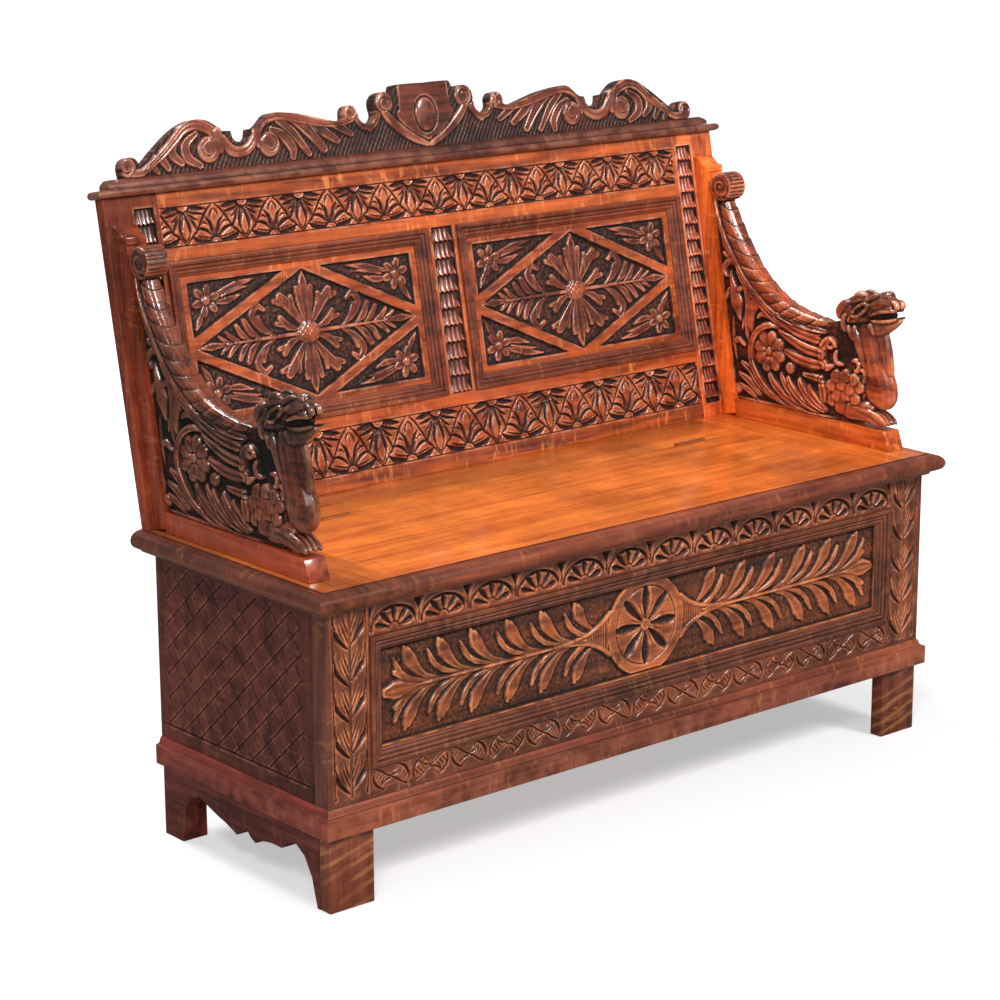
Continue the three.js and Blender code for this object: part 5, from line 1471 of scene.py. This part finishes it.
def beastBody():
    board = bmesh.new()
    # sunk ground between the carving
    web = [(112, 498), (106, 520), (104, 560), (114, 588), (120, 606), (124, 630), (124, 662)]
    web += [(150, 664), (215, 652), (267, 660)]
    web += [(330, 690), (370, 725), (410, 785), (436, 838)]
    web = smoothLine(web, 3)
    rear = np.array([(webRear(z), z) for z in (838, 700, 600, 498)])
    ground = np.vstack([web, rear])
    loft(board, np.array([[onBeast(w, y, z) for y, z in ground] for w in (-8.5, 8.5)]))
    # wing rail with its bead, and the bands under it
    addStroke(
        board, offsetLine(bead, beast["wing"]), [11, 14, 14.5, 14.5, 14, 13], [17, 18, 18, 18], 0, 0.72, 40
    )
    for points, widths, height, depth in (
        (bead[1:], [2.2], 18.6, 5),
        (offsetLine(bead, -5.6)[2:-3], [2.4], 17.2, 5),
        (offsetLine(bead, -12.5)[6:24], [2, 5.5, 5.5, 3], 15, 5),
    ):
        carve(board, points, widths, height, depth)
    for points, widths, height in feathers:
        carve(board, points, widths, height, 6.5)
    # volute
    part = bmesh.new()
    radius, y, z = volute["radius"] * mm, volute["y"], volute["z"]
    size = {"radius1": radius, "radius2": radius, "depth": volute["width"] * mm}
    bmesh.ops.create_cone(part, cap_ends=True, segments=64, **size)
    rims = [e for e in part.edges if abs(e.verts[0].co.z - e.verts[1].co.z) < 1e-6]
    roundEdges(part, rims, 1.6)
    bmesh.ops.rotate(part, verts=part.verts, matrix=Matrix.Rotation(math.pi / 2, 3, "Y"))
    bmesh.ops.translate(part, verts=part.verts, vec=onBeast(0, y, z))
    joinInto(board, part)
    spiral = scrollPoints((y, z), 20.5, 0.4, 1.6, 0.22)
    carve(board, spiral, [2.8, 2.4], 20, 4)
    knob(board, y, z, 4.6, 20, 4)
    # breast, neck and head
    addStroke(
        board, [(66, 527), (68, 545), (74, 564), (82, 586), (92, 614), (102, 645), (112, 676)],
        [22, 30, 32, 30, 25, 27, 27], [14, 17, 18, 17.8, 16, 15.5, 15], rings=30,
    )
    addStroke(
        board, [(96, 664), (80, 632), (70, 602), (64, 570)], [30, 25, 21, 18], [9.5, 9, 11, 13], rings=20
    )
    addStroke(board, [(118, 522), (98, 528), (78, 524)], [12, 14, 12], [13, 15, 13])
    carve(board, [(126, 664), (118, 638), (104, 610), (92, 584)], [5, 9, 9, 4], 17, 8)
    addStroke(
        board, [(156, 662), (130, 680), (104, 690), (82, 699)], [21, 28, 24, 15], [14, 17, 15.5, 13],
        rings=20
    )
    addStroke(board, [(150, 672), (140, 654), (128, 636), (118, 616)], [10, 13, 12, 8], [12, 11, 11, 12])
    addStroke(
        board, [(112, 692), (84, 701), (62, 705), (44, 701)], [17, 15, 13.5, 9], [15, 13.5, 12.5, 10.5],
        rings=20
    )
    addStroke(
        board, [(108, 652), (80, 661), (56, 669), (33, 681)], [24, 16, 9.5, 3.6], [14, 12.5, 10.5, 8],
        rings=20
    )
    addStroke(board, [(71, 713), (55, 715)], [9.5, 9.5], 10)
    carve(board, [(132, 699), (117, 711), (98, 712)], [4, 7, 5], 16.5, 6)
    carve(board, [(48, 700), (56, 696), (68, 697)], [5, 5.5, 4], 12.6, 5)
    # the dark of the open mouth, with its lips
    addStroke(board, [(96, 676), (70, 682), (44, 688)], [5, 7, 5.5], [9.5, 8.5, 6])
    for points, widths, height, depth in (
        ([(96, 680), (74, 689), (54, 693), (38, 694)], [3, 4, 3.4, 2.6], 13.6, 5),
        ([(96, 672), (72, 673), (50, 678), (34, 684)], [3, 3.6, 3, 2], 12.6, 4.5),
        ([(51, 709), (43, 706), (40, 700), (44, 697)], [3.4, 4.4, 4, 2], 12, 5),
        (
            [(136, 692), (120, 704), (100, 706), (84, 714), (74, 718)], [3, 5, 4.6, 4, 3],
            [16.5, 17.5, 16, 12], 6
        ),
        ([(97, 694), (84, 702), (70, 706)], [3, 4, 2.6], [17, 14.6, 12.5], 5),
    ):
        carve(board, points, widths, height, depth)
    eye = [(-17, 0), (-9, 7), (2, 10), (12, 7.6), (17, 1), (12, -6), (2, -9), (-9, -6.4), (-17, 0)]
    eye = [(113 - 1.02 * a - 0.4 * b, 686 + 0.46 * a + 1.05 * b) for a, b in eye]
    carve(board, eye, [3], 20.4, 4.5)
    knob(board, 113, 686.5, 7.4, 18.2, 6.5)
    carve(board, [(126, 678), (134, 672), (138, 664)], [3, 2.6, 1.4], 17, 4)
    carve(board, [(98, 666), (88, 659), (84, 650)], [6, 7, 4], 14.5, 6)
    # mane behind the head
    for points, widths, height, depth in (
        ([(134, 697), (148, 692), (158, 680), (156, 664)], [4, 8, 9, 6], 16.4, 7),
        ([(136, 680), (146, 672), (148, 658), (142, 646)], [3, 6, 6.5, 4], 17.2, 6),
        ([(140, 660), (132, 646), (126, 634)], [4, 6, 3], 16, 6),
    ):
        carve(board, points, widths, height, depth)
    # shoulder of overlapping feathers under a scroll
    for k, (y, z, width, length, height) in enumerate(scales):
        lean, lift = (y - 140) * 0.2, 2.2 * (-1) ** k
        spots = [
            (y - lean * 0.4, z + length * 0.7 + lift), (y - 1, z + lift),
            (y - 2 + lean, z - length * 0.85 + lift)
        ]
        carve(board, spots, [width * 0.5, width, width * 0.95], [height - 2, height], 5.5, 0.75)
    for spots in (
        [(128, 600), (118, 604), (110, 598), (113, 588), (122, 586)],
        [(108, 590), (98, 588), (95, 577), (102, 570)]
    ):
        carve(board, spots, [3.4, 4.4, 4.4, 4], 18.4, 6)
    for points, widths, height, depth in (
        (scrollPoints((173, 621), 9.5, math.pi * 1.2, -1.2), [4.4, 4, 3.4], 18.4, 7),
        (
            [(168, 632), (184, 627), (194, 612), (194, 594), (184, 582), (168, 588)],
            [4, 7, 8.5, 8.5, 8, 5], 17.6, 7.5
        ),
        ([(160, 616), (164, 604), (160, 594), (146, 592)], [4, 5, 5.4, 4], 16.6, 7),
    ):
        carve(board, points, widths, height, depth)
    # paw
    addStroke(
        board, [(152, 512), (118, 517), (86, 513), (58, 506)], [15, 14.5, 11, 8.5], [15, 16, 16.5, 16], 0,
        0.8
    )
    for w in (-12.8, -4.4, 4.4, 12.8):
        addStroke(
            board, [(128, 526), (98, 524), (70, 517), (48, 505)], [2, 5, 6.4, 5.4], [2.8, 3.8, 4.3, 4.1], w
        )
    # ring, rosette and leaves
    ring = [
        (292, 629), (318, 634), (346, 617), (357.5, 588), (349.7, 556.6), (320, 524), (274, 505),
        (215, 500.5)
    ]
    carve(board, ring, [4, 6, 6.5, 7, 7, 6.5, 4.5, 2], 16.5, 7)
    carve(board, offsetLine(smoothLine(ring), -5)[4:-6], [1.6], 17.4, 4)
    y0, z0 = rosette["y"], rosette["z"]
    for k in range(rosette["petals"]):
        a = math.radians(360 // rosette["petals"] * k + 12)
        petal, rib = [
            [(y0 + r * math.cos(a), z0 + r * math.sin(a)) for r in line]
            for line in ((8, 20, 37), (9, 27))
        ]
        carve(board, petal, [2.2, 8, 12, 7], 14.8, 5.5)
        carve(board, rib, [1.2, 1.8], 15.4, 3)
    knob(board, y0, z0, 7.5, 17.5, 7)
    knob(board, 266, 568, 10.5, 17, 8)
    knob(board, 387, 515, 10, 15, 7)
    for points, widths, height, depth in (
        ([(370, 589), (387.6, 599), (397, 593)], [4, 5.5, 6.5], 14, 6),
        ([(352, 652), (372, 640), (382, 612)], [3, 5, 2], 12.5, 5),
        ([(343, 560), (352, 536), (372, 512)], [2, 5, 2], 12, 5),
        ([(300, 640), (330, 650), (348, 640)], [3, 6, 3], 13.5, 5),
        ([(404, 560), (398, 530), (404, 505)], [2, 5, 3], 11.5, 5),
        ([(398, 690), (412, 680), (424, 660)], [2, 6, 3], 12.5, 5),
        ([(374, 690), (392, 682), (398, 668)], [3, 6, 3], 13, 5),
    ):
        carve(board, points, widths, height, depth)
    hook = [
        (366.9, 594.5), (368.6, 629), (365, 663.4), (373.8, 698), (387.6, 722), (408.3, 731), (424, 719),
        (419, 704), (408, 706)
    ]
    for points, widths, height, depth in (
        (hook, [5, 7.5, 9, 8.5, 7.5, 7, 6, 5, 3], 15.5, 7),
        ([(411.7, 716), (404, 690), (395, 662), (383, 627)], [3, 7, 15, 2], 14.5, 6.5),
        ([(356.6, 611.7), (363, 642.8), (352, 664), (326, 671)], [4, 12, 12, 4], 15, 6.5),
        ([(345, 672), (330, 678), (320, 668), (326, 658)], [3, 5, 5, 4], 16, 6),
        ([(435, 782), (424, 757), (405, 736)], [2, 7, 3], 14, 6),
        ([(443, 806), (428, 768), (420, 750)], [2, 6, 2], 13, 5),
        ([(430, 745), (418, 738), (398, 742)], [2, 5, 2], 13.5, 5),
        ([(394, 499.5), (280, 499.5), (150, 499.5)], [2.6], 12.5, 5),
        ([(404, 640), (400, 600), (392, 560)], [2, 4, 2], 11.5, 4),
    ):
        carve(board, points, widths, height, depth)
    return board


def smoothOver(points, edges, rounds):
    count = len(points)
    degree = np.bincount(edges.ravel(), minlength=count)[:, None]
    for _ in range(rounds):
        total = np.stack([
            np.bincount(
                edges[:, 0], points[edges[:, 1], k], count
            ) + np.bincount(edges[:, 1], points[edges[:, 0], k], count)
            for k in range(3)
        ], 1)
        points = 0.35 * points + 0.65 * total / degree
    return points


def sculptBeast():
    mesh = bpy.data.meshes.new("draft")
    board = beastBody()
    board.to_mesh(mesh)
    board.free()
    draft = bpy.data.objects.new("draft", mesh)
    bpy.context.scene.collection.objects.link(draft)
    fuse = draft.modifiers.new("fuse", "REMESH")
    fuse.mode = "VOXEL"
    fuse.voxel_size = beast["voxel"] * mm
    fused = bpy.data.meshes.new_from_object(draft.evaluated_get(bpy.context.evaluated_depsgraph_get()))
    bpy.data.objects.remove(draft)
    count = len(fused.vertices)
    place, normal = np.empty(count * 3), np.empty(count * 3)
    edges = np.empty(len(fused.edges) * 2, int)
    fused.vertices.foreach_get("co", place)
    fused.vertices.foreach_get("normal", normal)
    fused.edges.foreach_get("vertices", edges)
    place, normal, edges = place.reshape(-1, 3) / mm, normal.reshape(-1, 3), edges.reshape(-1, 2)
    w, y, z = place[:, 0] - beast["middle"], place[:, 1] - frontY, place[:, 2]
    cut = np.zeros(count)
    # barbs of the wing rail
    share, gap, side = alongLine(y, z, bead)
    span = np.hypot(*np.diff(bead, axis=0).T).sum()
    phase = (share * span + gap * 1.15) / beast["barb"]
    rail = (side > 0) & (gap > 3.5) & (gap < 33) & (z > 636) & (share > 0.02) & (share < 0.97)
    saw = phase % 1
    barb = beast["barbCut"] * (1 - saw) ** 1.6 + 0.25 * (0.5 + 0.5 * np.cos(phase * 2 * math.pi * 7))
    cut += np.where(rail, barb * np.clip((gap - 3.5) / 3, 0, 1) * np.clip((36 - gap) / 12, 0, 1), 0)
    # line marks the barb cuts, which are darkened later as painted shade
    line = np.where(rail, np.clip(1 - np.minimum(saw, 1 - saw) * beast["barb"] / 1.6, 0, 1), 0)
    # grooves along the feathers and leaves
    for points, widths, height in feathers:
        share, gap, side = alongLine(y, z, smoothLine(points))
        width = spread(widths, share)
        on = (gap < width) & (np.abs(w) > height - 5) & (z < 660)
        ridge = np.clip(0.5 + 0.6 * np.cos(gap * side / width * math.pi * 2.2 + 0.5), 0, 1)
        cut += np.where(on, 1.2 * ridge ** 2, 0)
        line = np.maximum(line, np.where(on, 0.3 * ridge ** 3, 0))
    # a vein and two flutes down each shoulder feather
    for y0, z0, width, length, height in scales:
        across, along = (y - y0 + 1) / width, (z0 - z) / length
        on = (np.abs(across) < 0.9) & (along > -0.1) & (along < 1.1) & (np.abs(w) > height - 2.4)
        ridge = np.clip(np.cos(across * math.pi * 2.6), 0, 1) ** 3
        cut += np.where(on, 0.4 * ridge, 0)
    # flutes round the volute
    turn = np.arctan2(z - volute["z"], y - volute["y"])
    reach = np.hypot(y - volute["y"], z - volute["z"])
    rim = (reach > 22) & (reach < 26) & (np.abs(w) < 17.5)
    cut += np.where(rim, 1.1 * (0.5 + 0.5 * np.cos(turn * 22)), 0)
    pupil = np.hypot(y - 112.5, z - 687) < 2.6
    cut += np.where(pupil & (np.abs(w) > 12), 1.2, 0)
    grain = np.random.default_rng(9).normal(0, 0.05, count)
    place -= normal * (cut + grain)[:, None]
    smooth = smoothOver(place, edges, 14)
    hollow = ((smooth - place) * normal).sum(1)
    ground = np.clip((11.5 - np.abs(w)) / 3, 0, 1) * (np.abs(normal[:, 0]) > 0.5) * (y > 100)
    mouth = (y < 95) & (y > 30) & (np.abs(z - 677 - (95 - y) * 0.19) < 6) & (np.abs(w) < 10.6)
    across, along = -0.9 * (y - 113) + 0.42 * (z - 686), -0.36 * (y - 113) + 0.92 * (z - 686)
    socket = (np.hypot(across / 15.5, along / 7.4) < 1) & (np.abs(w) > 8)
    ring = (np.hypot(across / 23, along / 14) < 1) & ~socket & (np.abs(w) > 17.8)
    # darker in hollows, on the sunk ground and along cut lines (dark wax and painted shade), and in the
    # mouth, the eye socket and the web behind the neck (painted shade only)
    recess = np.clip(hollow / 0.9, 0, 1) * 0.95 + 0.7 * ground + 0.6 * line + mouth + 0.6 * socket
    recess = np.maximum(recess, 0.9 * ((np.abs(w) < 13) & (y > 116) & (y < 165) & (z > 594) & (z < 668)))
    # lighter on convex spots (rubbed wear and a painted highlight) and over the eye ring (a painted
    # highlight)
    wearAndHighlight = np.clip(-hollow / 0.9, 0, 1) + ring
    fused.vertices.foreach_set("co", (place * mm).ravel())
    head = np.clip((z - 590) / 70, 0, 1) * np.clip((170 - y) / 30, 0, 1)
    paw = np.clip((528 - z) / 14, 0, 1) * np.clip((135 - y) / 20, 0, 1)
    giveTone(fused, recess, wearAndHighlight, 1 - 0.95 * head - 0.5 * paw)
    # thinned a little, so that each beast stays a light piece
    draft = bpy.data.objects.new("draft", fused)
    bpy.context.scene.collection.objects.link(draft)
    draft.modifiers.new("thin", "DECIMATE").ratio = beast["kept"]
    given = bpy.context.evaluated_depsgraph_get()
    carved = bpy.data.meshes.new_from_object(
        draft.evaluated_get(given), preserve_all_data_layers=True, depsgraph=given
    )
    bpy.data.objects.remove(draft)
    bpy.data.meshes.remove(fused)
    print("beast carved with", len(carved.polygons), "faces")
    return carved


carvedBeast = sculptBeast()
for side, name in sides:
    mesh = carvedBeast.copy()
    mesh.name = "arm_griffin_" + name
    if side < 0:
        mesh.transform(Matrix.Diagonal((-1, 1, 1, 1)))
        mesh.flip_normals()
    # the left beast is painted darker and the right lighter: painted shade and painted light
    griffinOak = oak(name + " beast oak", "beast", "y", 95 + side, 0.68 if side < 0 else 1.08)
    finishPiece(mesh, "arm_griffin_" + name, "settle", ["arm_beast_" + name], griffinOak, 70)
bpy.data.meshes.remove(carvedBeast)
print("beasts made")

# Camera, floor and light
view = {"place": (-2.68841, -3.09670, 1.50135), "turn": 40.21, "down": 14.53, "roll": -0.21, "lens": 98.7}
turn, down, roll = [math.radians(view[key]) for key in ("turn", "down", "roll")]
forward = np.array([math.sin(turn) * math.cos(down), math.cos(turn) * math.cos(down), -math.sin(down)])
right = np.array([math.cos(turn), -math.sin(turn), 0])
up = np.cross(right, forward)
axisX = right * math.cos(roll) + up * math.sin(roll)
axisY = up * math.cos(roll) - right * math.sin(roll)
camera = bpy.data.objects.new("camera", bpy.data.cameras.new("camera"))
camera.data.lens = view["lens"]
camera.data.sensor_width = 36
camera.data.clip_end = 60
camera.matrix_world = Matrix(
    [[axisX[k], axisY[k], -forward[k], view["place"][k]] for k in range(3)] + [[0, 0, 0, 1]]
)
bpy.context.scene.collection.objects.link(camera)
bpy.context.scene.camera = camera
bpy.context.scene.view_settings.view_transform = "Standard"

lamps = {
    "key": {
        "place": (1.4, -4.6, 4.4), "target": (0, 0, 0.5), "size": 1.6, "power": 248,
        "colour": (1, 0.98, 0.96)
    },
    "window": {
        "place": (-3.0, -3.0, 3.2), "target": (0.2, 0.2, 0.7), "size": 0.9, "power": 95,
        "colour": (1, 0.99, 0.98)
    },
    "fill": {
        "place": (-4.4, -2.4, 2.4), "target": (0, 0, 0.5), "size": 2.0, "power": 30, "colour": (1, 1, 1)
    },
    "top": {
        "place": (-0.8, 1.7, 4.6), "target": (0, 0, 0.4), "size": 1.7, "power": 175, "colour": (1, 1, 1)
    },
}
for name, lamp in lamps.items():
    light = bpy.data.objects.new(name, bpy.data.lights.new(name, "AREA"))
    light.data.size = lamp["size"]
    light.data.energy = lamp["power"]
    light.data.color = lamp["colour"]
    aim = np.array(lamp["place"]) - lamp["target"]
    aim = aim / np.linalg.norm(aim)
    across = np.cross((0, 0, 1), aim)
    across = across / np.linalg.norm(across)
    rise = np.cross(aim, across)
    light.matrix_world = Matrix(
        [[across[k], rise[k], aim[k], lamp["place"][k]] for k in range(3)] + [[0, 0, 0, 1]]
    )
    bpy.context.scene.collection.objects.link(light)

world = bpy.data.worlds.new("studio")
bpy.context.scene.world = world
world.use_nodes = True
tree = world.node_tree
rays = addNode(tree, "ShaderNodeLightPath").outputs
seen = sums(tree, "MAXIMUM", rays["Is Camera Ray"], rays["Is Transmission Ray"])
room = mixTone(tree, seen, (0.2, 0.205, 0.22, 1), (1, 1, 1, 1))
backdrop = tree.nodes["Background"]
tree.links.new(room, backdrop.inputs["Color"])
backdrop.inputs["Strength"].default_value = 1.0

board = bmesh.new()
bmesh.ops.create_grid(board, x_segments=1, y_segments=1, size=20)
mesh = bpy.data.meshes.new("floor")
board.to_mesh(mesh)
board.free()
floor = bpy.data.objects.new("floor", mesh)
bpy.context.scene.collection.objects.link(floor)
paper = bpy.data.materials.new("white paper")
paper.use_nodes = True
tree = paper.node_tree
sheet = tree.nodes["Principled BSDF"]
sheet.inputs["Roughness"].default_value = 0.9
sheet.inputs["Emission Color"].default_value = (1, 1, 1, 1)
rays = addNode(tree, "ShaderNodeLightPath").outputs
spot = addNode(tree, "ShaderNodeTexCoord").outputs["Object"]
away = addNode(tree, "ShaderNodeVectorMath", {0: spot}, operation="LENGTH").outputs["Value"]
# the floor shows much darker in reflections than to the camera
tree.links.new(
    mixTone(tree, rays["Is Glossy Ray"], (0.66, 0.66, 0.66, 1), (0.12, 0.11, 0.1, 1)),
    sheet.inputs["Base Color"]
)
# a glow seen only by the camera that is weaker near the bench: a painted shadow round it, added to the
# lamps' own shadow
floorGlowAndPaintedShadow = sums(tree, "MULTIPLY", rays["Is Camera Ray"], ranged(tree, away, 0.7, 3.0, 0.45, 0.92))
tree.links.new(floorGlowAndPaintedShadow, sheet.inputs["Emission Strength"])
mesh.materials.append(paper)

print("scene finished")
